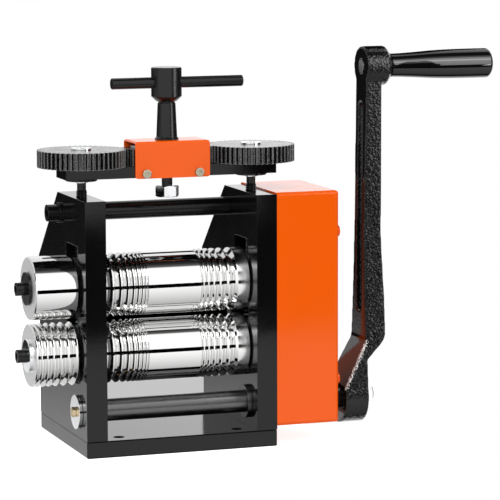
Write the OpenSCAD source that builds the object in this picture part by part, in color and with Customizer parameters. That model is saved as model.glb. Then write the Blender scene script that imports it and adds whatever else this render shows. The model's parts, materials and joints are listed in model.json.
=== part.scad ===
// Jewellers rolling mill, hand cranked, with combination rolls and two side rollers.
// X runs along the rolls towards the crank, Y runs back, Z is up.
// The origin is the centre of the base plate's underside. Lengths are in millimetres.

/* [Frame] */
// Length of the working rolls between the side plates
roll_l = 110; // [90:1:150]
// Thickness of each side plate
plate_t = 15; // [12:0.5:20]
// Front to back depth of the frame at the base
frame_depth = 125; // [115:1:160]
// Front to back depth of the side plates at the top
plate_top_depth = 71.4; // [66:0.2:90]
// Height of the side plates' top edge above the bench
plate_top_z = 181; // [176:1:220]
// Height where the sloping rear edge meets the vertical one
plate_knee_z = 129; // [115:1:150]
// Thickness of the base plate
base_t = 12; // [11:0.5:16]
// Diameter of the four bench bolt holes
bench_hole_d = 8; // [6:0.5:11]
// Spacing of the bench bolt holes along the rolls
bench_hole_dx = 88; // [76:1:92]
// Spacing of the bench bolt holes front to back
bench_hole_dy = 101; // [90:1:108]
// Diameter of the round bar that ties the plates at the top
tie_d = 13; // [10:0.5:18]
// Height of the tie bar
tie_z = 166.7; // [160:0.1:170]
// Distance of the tie bar behind the front edge
tie_from_front = 65.5; // [58:0.5:72]

/* [Rolls] */
// Diameter of the working rolls and side rollers
roll_d = 45; // [40:0.5:46]
// Gap between the rolls as set
nip = 2.6; // [1:0.1:4]
// Height of the lower roll's axis
lower_roll_z = 70; // [68:0.5:74]
// Distance of the roll axes behind the front edge
roll_from_front = 34.5; // [33:0.1:38]
// Diameter of the roll journals
journal_d = 20; // [16:0.5:22]
// Diameter of the seats for the gears and side rollers
seat_d = 16; // [13:0.5:17]
// Length of each side roller
side_roll_l = 31; // [20:1:40]
// Width of the widest wire groove at the outer end
wide_groove = 7.4; // [5:0.1:8]
// Width of the widest half-round groove at the gear end
gear_end_groove = 6.8; // [5:0.1:8]
// Width of the widest groove of the lower side roller
side_groove = 6.7; // [4:0.1:7]

/* [Bearing blocks] */
// Width of the window that guides the bearing blocks
window_w = 31; // [30:0.5:34]
// Height of the window's top edge
window_top_z = 147.6; // [144:0.2:150]
// Height of a bearing block
block_h = 38; // [34:0.5:40]
// Wall of the bronze bushes
bush_wall = 2; // [1.5:0.25:3]

/* [Roll gap adjustment] */
// Diameter of the pressure screws
screw_d = 8; // [7:0.5:10]
// Number of teeth of each adjusting gear
gear_teeth = 50; // [44:1:54]
// Number of teeth of each idler gear
idler_teeth = 18; // [17:1:19]
// Number of teeth of the handle's pinion
handle_teeth = 19; // [17:1:20]
// Thickness of the adjusting gears
adjust_gear_t = 12; // [10:0.5:14]
// Thickness of the bridge bar
bar_t = 8; // [6:0.5:10]
// Height of the bridge bar's underside
bar_z = 194; // [193:0.5:200]
// Length of the gear bracket
bracket_l = 55; // [46:1:58]
// Height of the gear bracket
bracket_h = 26; // [25:0.5:30]
// Wall of the gear bracket
bracket_wall = 1.2; // [1:0.1:2]
// Height of the tommy bar's axis
tommy_z = 259.7; // [250:0.5:270]
// Length of the tommy bar
tommy_l = 97; // [80:1:120]
// Diameter of the tommy bar
tommy_d = 8; // [6:0.5:10]

/* [Drive] */
// Diameter of the drive shaft
shaft_d = 16; // [14:0.5:18]
// Distance of the drive shaft behind the front edge
shaft_from_front = 22; // [20:0.5:24]
// Module of the reduction gears
drive_module = 1.9; // [1.8:0.05:1.95]
// Width of the reduction gears
drive_gear_w = 16; // [12:0.5:17]
// Distance from the shaft to the grip's axis
crank_r = 238.5; // [180:1:260]
// Length of the grip
grip_l = 78; // [60:1:100]
// Largest diameter of the grip
grip_d = 21.4; // [18:0.2:28]
// Width of the gear cover along the rolls
cover_w = 47.2; // [46:0.2:60]
// Depth of the gear cover front to back
cover_depth = 79; // [74:0.5:90]
// Height of the gear cover's lower edge
cover_z = 14.2; // [13:0.2:16]
// Wall of the gear cover
cover_wall = 1.2; // [1:0.1:2]

/* [Hidden] */

$fn = 64;
// How far a cut runs past the face it cuts
over = 1;
// Clearance round a turning part on its radius
run = 0.06;
// Clearance round a part that slides or is assembled loosely
slide = 0.1;
// Gap between faces that pass each other
face_gap = 0.2;

// Frame
roll_end_gap = 0.5;
plate_gap = roll_l + 2 * roll_end_gap;
inner_x = plate_gap / 2;
outer_x = inner_x + plate_t;
plate_x = inner_x + plate_t / 2;
front_y = -frame_depth / 2;
rear_y = frame_depth / 2;
plate_top_rear_y = front_y + plate_top_depth;
roll_y = front_y + roll_from_front;
tie_y = front_y + tie_from_front;
base_bevel = 0.8;

// Base screws, counterbored from below
base_screw_d = 6;
base_head_d = 10;
base_head_h = 6;
base_screw_grip = 14;
base_screw_y_shares = [-0.15, 0.13, 0.41];
cbore_room = 0.5;

// Tie bar screws
tie_screw_d = 6;
tie_head_d = 12;
tie_head_h = 8.2;
tie_screw_grip = 18;
tie_washer_d = 14.6;
tie_washer_t = 1.6;
tie_socket_d = 6;
socket_share = 0.55;

// Rolls
upper_roll_z = lower_roll_z + roll_d + nip;
barrel_x = roll_l / 2;
shoulder_gap = 1.2;
journal_end = outer_x + shoulder_gap;
seat_end = journal_end + side_roll_l;
spigot_gap = 0.4;
spigot_end = seat_end - spigot_gap;
groove_land = 0.8;
groove_ratio = 0.83;
groove_count = 8;
gear_end_collar = 9;
gear_end_count = 6;
gear_end_ratio = 0.85;
side_groove_count = 6;
side_groove_ratio = 0.9;
roll_bevel = 0.8;
side_washer_d = 23.6;
side_washer_t = 2.2;
side_bolt_d = 6;
side_head_d = 9.6;
side_head_h = 6.8;
side_socket_d = 5;
side_bolt_grip = 16;

// Keys, half in the shaft and half in the hub
key_w = 4;
key_depth = 2.2;
key_rise = 1.6;
key_room = 0.2;
key_end = 2;

// Window and bearing blocks
window_floor_z = lower_roll_z - block_h / 2;
window_r = 3;
block_w = window_w - 2 * slide;
bush_d = journal_d + 2 * bush_wall;
spring_d = 11;
spring_wire = 1.6;
spring_turns = 5;
spring_sides = 6;
spring_steps = 8;
spring_pocket = 4;
spring_room = 0.6;
spring_pocket_d = spring_d + 2 * spring_room;
spring_low_z = lower_roll_z + block_h / 2 - spring_pocket;
spring_h = upper_roll_z - lower_roll_z - block_h + 2 * spring_pocket - 2 * face_gap;

// Drive gears
pinion_teeth = 12;
driven_teeth = 32;
drive_distance = drive_module * (pinion_teeth + driven_teeth) / 2;
shaft_y = front_y + shaft_from_front;
shaft_z = lower_roll_z - sqrt(pow(drive_distance, 2) - pow(roll_y - shaft_y, 2));
mesh_angle = atan2(lower_roll_z - shaft_z, roll_y - shaft_y);
gear_stand_off = 2.5;
drive_x = outer_x + gear_stand_off;
profile_shift_share = 0.3;
backlash = 0.12;
pressure_angle = 20;
dedendum_share = 1.25;
gear_spacing = 2;
coupling_x = drive_x + drive_gear_w + gear_spacing;
coupling_teeth = 12;
coupling_pitch_rise = 1.5;
coupling_addendum = 3;
coupling_r = roll_d / 2 + coupling_pitch_rise;
coupling_tip_r = coupling_r + coupling_addendum;
coupling_root_gap = 0.3;
coupling_root_r = roll_d - coupling_tip_r - coupling_root_gap;
coupling_tooth = 4.9;
circlip_t = 1.2;
circlip_rise = 3;
circlip_gap = 5;
circlip_x = coupling_x + drive_gear_w + face_gap / 2;
circlip_d = seat_d + 2 * circlip_rise;
groove_d = seat_d - circlip_t;
gear_seat_over = 1.8;
gear_seat_end = circlip_x + circlip_t + gear_seat_over;
spacer_wall = 4;
spacer_d = seat_d + 2 * spacer_wall;

// Drive shaft
shaft_step_d = 13;
shaft_flat = 11;
shaft_collar_d = 24;
shaft_collar_t = 3;
end_washer_d = 24.3;
end_washer_t = 2.4;
end_bolt_d = 5;
end_bolt_af = 8;
end_bolt_h = 3.5;
end_bolt_grip = 15;
shaft_bush_d = shaft_d + 2 * bush_wall;
sleeve_d = 20;
crank_gap = 6.3;
hub_x = outer_x + cover_w + crank_gap;
hub_l = 18;
hub_r = 20;
crank_washer_d = 20;
crank_washer_t = 1.5;
crank_nut_af = 16;
crank_nut_h = 6;
shaft_thread_d = 10;
thread_over = 1.5;

// Crank arm: heights as shares of the crank radius, widths as shares of the hub's diameter
arm_offset = 17;
arm_x = hub_x + arm_offset;
arm_low_t = 15.6;
arm_top_t = 12.1;
arm_lean = 1.8;
neck_low_share = 0.03;
neck_inner_share = 0.172;
neck_outer_share = 0.113;
neck_outer_slope = 45;
neck_r = 12;
neck_inner_r = 6;
arm_thick_share = 0.31;
arm_slim_share = 0.5;
arm_width_shares = [[0, 0.975], [0.12, 0.845], [0.205, 0.715], [0.317, 0.6],
  [0.42, 0.515], [0.5, 0.478], [0.9, 0.518], [1, 0.525]];
web_t = 6;
channel_w = 9.5;
channel_round = 0.25;
channel_low_share = 0.26;
channel_high_share = 0.89;
boss_r = 14.3;
boss_l = 21.3;
boss_taper = 4.5;
boss_bevel = 1;
grip_z = shaft_z + crank_r;
boss_x = arm_x + arm_lean;
grip_x = boss_x + boss_l + face_gap;
grip_neck_d = 17;
grip_spindle_d = 9;
grip_recess_d = 15;
grip_recess = 5;
grip_round = 3;
grip_head_d = 13;
grip_head_t = 3.5;

// Gear cover
cover_rise = 1;
cover_top_z = plate_top_z + cover_rise;
cover_r = 3;
cover_h = cover_top_z - cover_z;
cover_cy = front_y + cover_depth / 2;
cover_hole_room = 2;
cover_hole_d = sleeve_d + 2 * cover_hole_room;
pillar_d = 7;
pillar_inset = 8;
pillar_low_z = shaft_z + 15;
pillar_high_z = tie_z - tie_washer_d;
pillar_stud = 8;
cover_screw_d = 4;
cover_head_d = 8;
cover_head_h = 2.2;
cover_socket_d = 2.5;
cover_screw_grip = 8;

// Roll gap adjustment
adjust_module = 2 * plate_x / (gear_teeth + 2 * idler_teeth + handle_teeth);
idler_r = adjust_module * idler_teeth / 2;
handle_r = adjust_module * handle_teeth / 2;
idler_x = handle_r + idler_r;
gear_room = 0.4;
bar_w = 2 * (handle_r + adjust_module + gear_room);
bar_overhang = 14.7;
bar_l = 2 * (plate_x + bar_overhang);
bar_top = bar_z + bar_t;
adjust_z = bar_top + face_gap;
bracket_drop = 0.6;
bracket_low_z = bar_z - bracket_drop;
bracket_top = bracket_low_z + bracket_h;
bracket_bend = 1.6;
bracket_corner = 2;
bracket_screw_d = 3;
bracket_head_d = 6.3;
bracket_head_h = 1.8;
bracket_screw_grip = 6;
bracket_screw_dx = 39;
bracket_screw_rise = 2.8;
bracket_socket_d = 2.5;
idler_pin_d = 6;
idler_pin_head_d = 9;
idler_pin_head_t = 1.5;
spindle_d = 10;
stud_d = 7.6;
handle_nut_af = 16.7;
handle_nut_h = 8.4;
handle_nut_rise = 6;
handle_nut_top = plate_top_z + handle_nut_rise;
stem_low_d = 14.8;
stem_top_d = 12.6;
stem_foot_d = 17;
stem_foot_h = 1.6;
hub_d = 21.6;
hub_h = 21.8;
hub_cone_h = 2.6;
hub_round = 1.5;
hub_low_z = tommy_z - hub_h / 2;
tommy_offset = 8;
tommy_round = 0.8;

// Pressure screws
screw_core_d = 6.4;
screw_journal_d = 9;
flange_d = 22.2;
flange_t = 1.6;
ring_d = 9;
ring_t = 1.2;
thread_rise = 4;
thread_top_z = plate_top_z + thread_rise;
screw_tip_gap = 0.15;
gear_washer_d = 14.6;
gear_washer_t = 1.2;
stub_d = 7;

// Shared forms

module rounded_rect(w, h, r) {
  square([w - 2 * r, h], center = true);
  square([w, h - 2 * r], center = true);
  for (sx = [-1, 1], sy = [-1, 1])
    translate([sx * (w / 2 - r), sy * (h / 2 - r)]) circle(r = r);
}

// A bar along X from x0, l long
module rod_x(x0, l, d) {
  translate([x0, 0, 0]) rotate([0, 90, 0]) cylinder(h = l, d = d);
}

// A ring along X
module ring_x(x0, l, d, bore) {
  difference() {
    rod_x(x0, l, d);
    rod_x(x0 - over, l + 2 * over, bore);
  }
}

// A hexagon along X, af across its flats
module hex_x(x0, l, af) {
  translate([x0, 0, 0]) rotate([0, 90, 0]) cylinder(h = l, d = af / cos(30), $fn = 6);
}

// A turned part on the X axis, from a list of [x, radius]
module turned_x(profile) {
  last = len(profile) - 1;
  axis_start = [[0, profile[0][0]]];
  axis_end = [[0, profile[last][0]]];
  outline = concat(axis_start, [for (p = profile) [p[1], p[0]]], axis_end);
  rotate([0, 90, 0]) rotate_extrude() polygon(outline);
}

// A turned part on the Z axis, from a list of [radius, z]
module turned_z(profile) {
  last = len(profile) - 1;
  axis_start = [[0, profile[0][1]]];
  axis_end = [[0, profile[last][1]]];
  rotate_extrude() polygon(concat(axis_start, profile, axis_end));
}

// A profile drawn in Y and Z, extruded along X from x0
module plate_x_profile(x0, t) {
  translate([x0, 0, 0]) rotate([90, 0, 90]) linear_extrude(t) children();
}

// A socket head screw along -X with its head's inner face at x = 0, shank towards +X
module cap_screw_x(d, grip, head_d, head_h, socket_d) {
  difference() {
    union() {
      rod_x(-head_h, head_h, head_d);
      rod_x(0, grip, d);
    }
    translate([-head_h - over, 0, 0]) hex_x(0, head_h * socket_share + over, socket_d);
  }
}

function unit(v) = v / norm(v);

// The arc of radius r that rounds corner b between points a and c
function corner_arc(a, b, c, r, steps) =
  r == 0 ? [b] :
  let (u = unit(a - b), v = unit(c - b), half = acos(u * v) / 2,
       centre = b + unit(u + v) * r / sin(half),
       start = b + u * r / tan(half) - centre, end = b + v * r / tan(half) - centre,
       first = atan2(start.y, start.x),
       turn = (atan2(end.y, end.x) - first + 540) % 360 - 180)
  [for (k = [0:steps]) centre + polar(r, first + turn * k / steps)];

// A closed outline whose corners, given as [point, radius], are rounded
function rounded_outline(corners, steps) =
  let (n = len(corners))
  [for (i = [0:n - 1])
    each corner_arc(corners[(i + n - 1) % n][0], corners[i][0], corners[(i + 1) % n][0],
      corners[i][1], steps)];

module at_roll(z) translate([0, roll_y, z]) children();

module at_shaft() translate([0, shaft_y, shaft_z]) children();

module mirrored() for (s = [0, 1]) mirror([s, 0, 0]) children();

// Gear teeth

function involute(a) = tan(a) * 180 / PI - a;

function flank_angle(rho, r, base_r, tooth) =
  tooth / (2 * r) * 180 / PI + involute(pressure_angle)
  - (rho <= base_r ? 0 : involute(acos(base_r / rho)));

function flank_radii(root_r, base_r, tip_r, steps) =
  root_r < base_r
  ? concat([root_r, base_r], [for (k = [1:steps]) base_r + (tip_r - base_r) * k / steps])
  : [for (k = [0:steps]) root_r + (tip_r - root_r) * k / steps];

function polar(r, a) = [r * cos(a), r * sin(a)];

// Outline of a spur gear: pitch radius r, tooth is its thickness on that circle
function gear_outline(r, teeth, tip_r, root_r, tooth, phase, steps) =
  let (base_r = r * cos(pressure_angle),
       radii = flank_radii(root_r, base_r, tip_r, steps),
       n = len(radii))
  [for (i = [0:teeth - 1], side = [-1, 1], k = [0:n - 1])
    let (rho = radii[side < 0 ? k : n - 1 - k])
    polar(rho, phase + 360 * i / teeth + side * flank_angle(rho, r, base_r, tooth))];

// Phase of gear b that meshes with gear a, seen from a in the given direction
function mesh_phase(phase_a, direction, teeth_a, teeth_b) =
  direction + 180 - (phase_a - direction) * teeth_a / teeth_b + 180 / teeth_b;

function adjust_outline(teeth, phase) =
  let (r = adjust_module * teeth / 2)
  gear_outline(r, teeth, r + adjust_module, r - dedendum_share * adjust_module,
    PI * adjust_module / 2 - backlash / 2, phase, 2);

// Thickness and radii of a drive gear tooth with its profile shifted by a share of the module
function drive_outline(teeth, shift_share, phase) =
  let (r = drive_module * teeth / 2,
       tooth = drive_module * (PI / 2 + 2 * shift_share * tan(pressure_angle)) - backlash / 2)
  gear_outline(r, teeth, r + drive_module * (1 + shift_share),
    r - drive_module * (dedendum_share - shift_share), tooth, phase, 3);

// A bore along X for a round seat with a keyway at its top
module keyed_bore(x0, l, d) {
  rod_x(x0 - over, l + 2 * over, d + slide);
  translate([x0 - over, -key_w / 2, 0])
    cube([l + 2 * over, key_w, d / 2 + key_rise + key_room]);
}

// A key along X, sunk in a seat of diameter d
module key_x(x0, l, d) {
  translate([x0, -key_w / 2, d / 2 - key_depth]) cube([l, key_w, key_depth + key_rise]);
}

// A bore along X for a seat with two flats
module flat_bore(x0, l) {
  intersection() {
    rod_x(x0 - over, l + 2 * over, shaft_step_d + slide);
    translate([x0 - over, -(shaft_flat + slide) / 2, -shaft_step_d])
      cube([l + 2 * over, shaft_flat + slide, 2 * shaft_step_d]);
  }
}

// Frame pieces

// A plate centred on the origin with all its edges bevelled
module bevelled_plate(w, d, h, bevel) {
  intersection() {
    linear_extrude(h, center = true) bevelled_rect(w, d, bevel);
    rotate([90, 0, 90]) linear_extrude(w, center = true) bevelled_rect(d, h, bevel);
    rotate([90, 0, 0]) linear_extrude(d, center = true) bevelled_rect(w, h, bevel);
  }
}

module bevelled_rect(w, h, bevel) {
  x = w / 2;
  y = h / 2;
  polygon([[x - bevel, y], [x, y - bevel], [x, bevel - y], [x - bevel, -y],
    [bevel - x, -y], [-x, bevel - y], [-x, y - bevel], [bevel - x, y]]);
}

module base_plate() {
  color("#26282b") difference() {
    translate([0, 0, base_t / 2]) bevelled_plate(2 * outer_x, frame_depth, base_t, base_bevel);
    for (sx = [-1, 1], sy = [-1, 1])
      translate([sx * bench_hole_dx / 2, sy * bench_hole_dy / 2, -over])
        cylinder(h = base_t + 2 * over, d = bench_hole_d);
    at_base_screws() {
      translate([0, 0, -over]) cylinder(h = base_t + 2 * over, d = base_screw_d + 2 * slide);
      translate([0, 0, -over])
        cylinder(h = base_head_h + cbore_room + over, d = base_head_d + 2 * cbore_room);
    }
  }
}

module at_base_screws() {
  for (sx = [-1, 1], share = base_screw_y_shares)
    translate([sx * plate_x, share * frame_depth, 0]) children();
}

module base_screws() {
  color("#3a3c3f") at_base_screws() translate([0, 0, cbore_room]) difference() {
    union() {
      cylinder(h = base_head_h, d = base_head_d);
      cylinder(h = base_t + base_screw_grip, d = base_screw_d);
    }
    translate([0, 0, -over])
      cylinder(h = base_head_h * socket_share + over, d = base_screw_d, $fn = 6);
  }
}

module side_outline() {
  difference() {
    polygon([
      [front_y, base_t], [rear_y, base_t], [rear_y, plate_knee_z],
      [plate_top_rear_y, plate_top_z], [front_y, plate_top_z]
    ]);
    translate([roll_y, (window_floor_z + window_top_z) / 2])
      rounded_rect(window_w, window_top_z - window_floor_z, window_r);
    translate([shaft_y, shaft_z]) circle(d = shaft_bush_d);
    translate([tie_y, tie_z]) circle(d = tie_screw_d + 2 * slide);
  }
}

module side_plate() {
  difference() {
    plate_x_profile(inner_x, plate_t) side_outline();
    translate([plate_x, roll_y, window_top_z - over])
      cylinder(h = plate_top_z - window_top_z + 2 * over, d = screw_d + 2 * run);
    for (share = base_screw_y_shares)
      translate([plate_x, share * frame_depth, base_t - over])
        cylinder(h = base_screw_grip + 2 * over, d = base_screw_d + slide);
  }
}

module left_side_plate() {
  color("#26282b") mirror([1, 0, 0]) side_plate();
}

module right_side_plate() {
  color("#26282b") difference() {
    side_plate();
    at_pillars() rod_x(outer_x - pillar_stud - over, pillar_stud + 2 * over, cover_screw_d + slide);
  }
}

module tie_bar() {
  color("#1c1d1f") translate([0, tie_y, tie_z]) difference() {
    rod_x(-inner_x, plate_gap, tie_d);
    mirrored() rod_x(inner_x - tie_screw_grip, tie_screw_grip + over, tie_screw_d + slide);
  }
}

module tie_bar_screws() {
  color("#1c1d1f") translate([0, tie_y, tie_z]) mirrored()
    translate([-outer_x - tie_washer_t, 0, 0])
      cap_screw_x(tie_screw_d, tie_washer_t + plate_t + tie_screw_grip - over, tie_head_d,
        tie_head_h, tie_socket_d);
}

module tie_bar_washers() {
  color("#8c8f93") translate([0, tie_y, tie_z]) mirrored()
    ring_x(outer_x, tie_washer_t, tie_washer_d, tie_screw_d + 2 * slide);
}

// Bearing blocks and springs

module bearing_block(z) {
  at_roll(z) difference() {
    plate_x_profile(inner_x, plate_t) difference() {
      rounded_rect(block_w, block_h, window_r);
      circle(d = bush_d);
    }
    for (s = [-1, 1])
      translate([plate_x, 0, s * block_h / 2])
        cylinder(h = 2 * spring_pocket, d = spring_pocket_d, center = true);
  }
}

module block_bush(z) {
  at_roll(z) ring_x(inner_x, plate_t, bush_d, journal_d + 2 * run);
}

module lower_bearing_blocks() {
  color("#3b3d40") mirrored() bearing_block(lower_roll_z);
}

module upper_bearing_blocks() {
  color("#3b3d40") mirrored() bearing_block(upper_roll_z);
}

module lower_roll_bushes() {
  color("#b08d4a") mirrored() block_bush(lower_roll_z);
}

module upper_roll_bushes() {
  color("#b08d4a") mirrored() block_bush(upper_roll_z);
}

// Points of the coil's centre line, which rises from z = 0 to rise
function coil_points(rise, r, turns) =
  [for (i = [0:turns * spring_steps])
    let (a = 360 * i / spring_steps)
    [r * cos(a), r * sin(a), rise * i / (turns * spring_steps)]];

// Least gap between turns, measured from points more than half a turn apart
function least_gap(points, wire) =
  min([for (i = [0:len(points) - 1], j = [i + spring_steps / 2:1:len(points) - 1])
    norm(points[j] - points[i])]) - wire;

// A coil on the Z axis from z = 0 to z = h, swept as one tube
module coil(h, d, wire, turns) {
  centres = coil_points(h - wire, (d - wire) / 2, turns);
  rings = len(centres) - 1;
  ring_points = [for (i = [0:rings], k = [0:spring_sides - 1])
    let (a = 360 * i / spring_steps, b = 360 * k / spring_sides, out = wire / 2 * cos(b))
    centres[i] + [out * cos(a), out * sin(a), wire / 2 * (1 + sin(b))]];
  walls = [for (i = [0:rings - 1], k = [0:spring_sides - 1])
    let (p = i * spring_sides + k, q = i * spring_sides + (k + 1) % spring_sides)
    each [[p, p + spring_sides, q], [q, p + spring_sides, q + spring_sides]]];
  end = rings * spring_sides;
  caps = [for (k = [1:spring_sides - 2]) each [[0, k, k + 1], [end, end + k + 1, end + k]]];
  polyhedron(ring_points, concat(walls, caps));
  echo(least_gap_between_turns = least_gap(centres, wire));
}

module block_springs() {
  color("#8c8f93") mirrored() translate([plate_x, roll_y, spring_low_z + face_gap])
    coil(spring_h, spring_d, spring_wire, spring_turns);
}

// Rolls

function sum_to(list, n) = n <= 0 ? 0 : list[n - 1] + sum_to(list, n - 1);

// Points of a run of V grooves that starts at x0 on a roll of radius r
function groove_run(x0, widths, r) =
  [for (i = [0:len(widths) - 1])
    let (x = x0 + sum_to(widths, i), w = widths[i], cut = (w - groove_land) / 2,
         flat = groove_land / 4)
    each [[x + groove_land / 2, r], [x + w / 2 - flat, r - cut + flat],
          [x + w / 2 + flat, r - cut + flat], [x + w - groove_land / 2, r]]];

outer_widths = [for (i = [0:groove_count - 1]) wide_groove * pow(groove_ratio, i)];
gear_end_widths = [for (i = [gear_end_count - 1:-1:0]) gear_end_groove * pow(gear_end_ratio, i)];
gear_end_run = sum_to(gear_end_widths, gear_end_count);

// A roll with its journals, the seat for its side roller and the seat for its gears
module roll_body() {
  r = roll_d / 2;
  difference() {
    turned_x(concat(
      [[-spigot_end, seat_d / 2], [-journal_end, seat_d / 2], [-journal_end, journal_d / 2],
       [-barrel_x, journal_d / 2], [-barrel_x, r - roll_bevel], [-barrel_x + roll_bevel, r]],
      groove_run(-barrel_x + roll_bevel, outer_widths, r),
      groove_run(barrel_x - gear_end_collar - gear_end_run, gear_end_widths, r),
      [[barrel_x - roll_bevel, r], [barrel_x, r - roll_bevel], [barrel_x, journal_d / 2],
       [outer_x + face_gap, journal_d / 2], [outer_x + face_gap, seat_d / 2],
       [gear_seat_end, seat_d / 2]]
    ));
    rod_x(-spigot_end - over, side_bolt_grip + over, side_bolt_d + slide);
    side_key();
    ring_x(circlip_x - face_gap / 2, circlip_t + face_gap, seat_d + 2 * over, groove_d);
  }
}

// The key of the side roller
module side_key() {
  key_x(-spigot_end + key_end, side_roll_l - 2 * key_end, seat_d);
}

// The key of a gear that starts at x0
module gear_key(x0) {
  key_x(x0 + key_end, drive_gear_w - 2 * key_end, seat_d);
}

module lower_roll() {
  color("#d9dcdf") at_roll(lower_roll_z) difference() {
    roll_body();
    gear_key(drive_x);
    gear_key(coupling_x);
  }
}

module upper_roll() {
  color("#d9dcdf") at_roll(upper_roll_z) difference() {
    roll_body();
    gear_key(coupling_x);
  }
}

module lower_roll_keys() {
  color("#6b6e72") at_roll(lower_roll_z) {
    side_key();
    gear_key(drive_x);
    gear_key(coupling_x);
  }
}

module upper_roll_keys() {
  color("#6b6e72") at_roll(upper_roll_z) {
    side_key();
    gear_key(coupling_x);
  }
}

// A side roller, with the profile between its bevelled ends given
module side_roller(middle) {
  r = roll_d / 2;
  difference() {
    turned_x(concat(
      [[-seat_end, r - roll_bevel], [-seat_end + roll_bevel, r]],
      middle,
      [[-journal_end - roll_bevel, r], [-journal_end, r - roll_bevel]]
    ));
    keyed_bore(-seat_end, side_roll_l, seat_d);
  }
}

side_widths = [for (i = [side_groove_count - 1:-1:0]) side_groove * pow(side_groove_ratio, i)];
side_fill = (side_roll_l - 2 * roll_bevel) / sum_to(side_widths, side_groove_count);

module upper_side_roller() {
  color("#d9dcdf") at_roll(upper_roll_z) side_roller([]);
}

module lower_side_roller() {
  color("#d9dcdf") at_roll(lower_roll_z)
    side_roller(groove_run(-seat_end + roll_bevel, side_fill * side_widths, roll_d / 2));
}

module side_washer() {
  ring_x(-seat_end - side_washer_t, side_washer_t, side_washer_d, side_bolt_d + 2 * slide);
}

module side_bolt() {
  translate([-seat_end - side_washer_t, 0, 0])
    cap_screw_x(side_bolt_d, side_washer_t + side_bolt_grip - over, side_head_d, side_head_h,
      side_socket_d);
}

module upper_side_washer() {
  color("#1c1d1f") at_roll(upper_roll_z) side_washer();
}

module lower_side_washer() {
  color("#d9dcdf") at_roll(lower_roll_z) side_washer();
}

module upper_side_bolt() {
  color("#1c1d1f") at_roll(upper_roll_z) side_bolt();
}

module lower_side_bolt() {
  color("#1c1d1f") at_roll(lower_roll_z) side_bolt();
}

// Drive train in the cover

pinion_phase = mesh_angle;
driven_phase = mesh_phase(pinion_phase, mesh_angle, pinion_teeth, driven_teeth);
lower_coupling_phase = 90;
upper_coupling_phase = mesh_phase(lower_coupling_phase, 90, coupling_teeth, coupling_teeth);

module drive_pinion() {
  color("#7d8084") at_shaft() difference() {
    plate_x_profile(drive_x, drive_gear_w)
      polygon(drive_outline(pinion_teeth, profile_shift_share, pinion_phase));
    flat_bore(drive_x, drive_gear_w);
  }
}

module driven_gear() {
  color("#7d8084") at_roll(lower_roll_z) difference() {
    plate_x_profile(drive_x, drive_gear_w)
      polygon(drive_outline(driven_teeth, -profile_shift_share, driven_phase));
    keyed_bore(drive_x, drive_gear_w, seat_d);
  }
}

module coupling_gear(phase) {
  difference() {
    plate_x_profile(coupling_x, drive_gear_w)
      polygon(gear_outline(coupling_r, coupling_teeth, coupling_tip_r, coupling_root_r,
        coupling_tooth, phase, 3));
    keyed_bore(coupling_x, drive_gear_w, seat_d);
  }
}

module lower_coupling_gear() {
  color("#7d8084") at_roll(lower_roll_z) coupling_gear(lower_coupling_phase);
}

module upper_coupling_gear() {
  color("#7d8084") at_roll(upper_roll_z) coupling_gear(upper_coupling_phase);
}

// A spacer ring on a roll's gear seat between x0 and x1
module seat_spacer(x0, x1) {
  ring_x(x0, x1 - x0, spacer_d, seat_d + slide);
}

module lower_gear_spacers() {
  color("#8c8f93") at_roll(lower_roll_z) {
    seat_spacer(outer_x + face_gap, drive_x);
    seat_spacer(drive_x + drive_gear_w, coupling_x);
  }
}

module upper_gear_sleeve() {
  color("#8c8f93") at_roll(upper_roll_z) seat_spacer(outer_x + face_gap, coupling_x);
}

module circlip() {
  difference() {
    ring_x(circlip_x, circlip_t, circlip_d, groove_d);
    translate([circlip_x - over, -circlip_gap / 2, 0])
      cube([circlip_t + 2 * over, circlip_gap, circlip_d]);
  }
}

module lower_circlip() {
  color("#6b6e72") at_roll(lower_roll_z) circlip();
}

module upper_circlip() {
  color("#6b6e72") at_roll(upper_roll_z) circlip();
}

// Drive shaft and crank

module drive_shaft() {
  seat_l = hub_x + hub_l - drive_x;
  color("#1c1d1f") at_shaft() difference() {
    turned_x([
      [-outer_x - face_gap, shaft_d / 2], [drive_x, shaft_d / 2],
      [drive_x, shaft_step_d / 2], [drive_x + seat_l - over, shaft_step_d / 2],
      [drive_x + seat_l - over, shaft_thread_d / 2],
      [drive_x + seat_l + crank_washer_t + crank_nut_h + thread_over, shaft_thread_d / 2]
    ]);
    rod_x(-outer_x - face_gap - over, end_bolt_grip + over, end_bolt_d + slide);
    for (s = [0, 1]) mirror([0, s, 0])
      translate([drive_x, shaft_flat / 2, -shaft_step_d])
        cube([seat_l, shaft_step_d, 2 * shaft_step_d]);
  }
}

module shaft_bushes() {
  color("#b08d4a") at_shaft() mirrored()
    ring_x(inner_x, plate_t, shaft_bush_d, shaft_d + 2 * run);
}

module shaft_collar() {
  color("#1c1d1f") at_shaft()
    ring_x(inner_x - face_gap - shaft_collar_t, shaft_collar_t, shaft_collar_d, shaft_d + slide);
}

module shaft_sleeve() {
  x0 = drive_x + drive_gear_w;
  color("#8c8f93") at_shaft() ring_x(x0, hub_x - x0, sleeve_d, shaft_step_d + slide);
}

module shaft_end_washer() {
  color("#c9ccd0") at_shaft()
    ring_x(-outer_x - face_gap - end_washer_t, end_washer_t, end_washer_d, end_bolt_d + 2 * slide);
}

module shaft_end_bolt() {
  face = -outer_x - face_gap - end_washer_t;
  color("#b89a52") at_shaft() {
    hex_x(face - end_bolt_h, end_bolt_h, end_bolt_af);
    rod_x(face, end_washer_t + end_bolt_grip - over, end_bolt_d);
  }
}

// Height at a share of the crank radius above the shaft
function arm_z(share) = share * crank_r;

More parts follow.
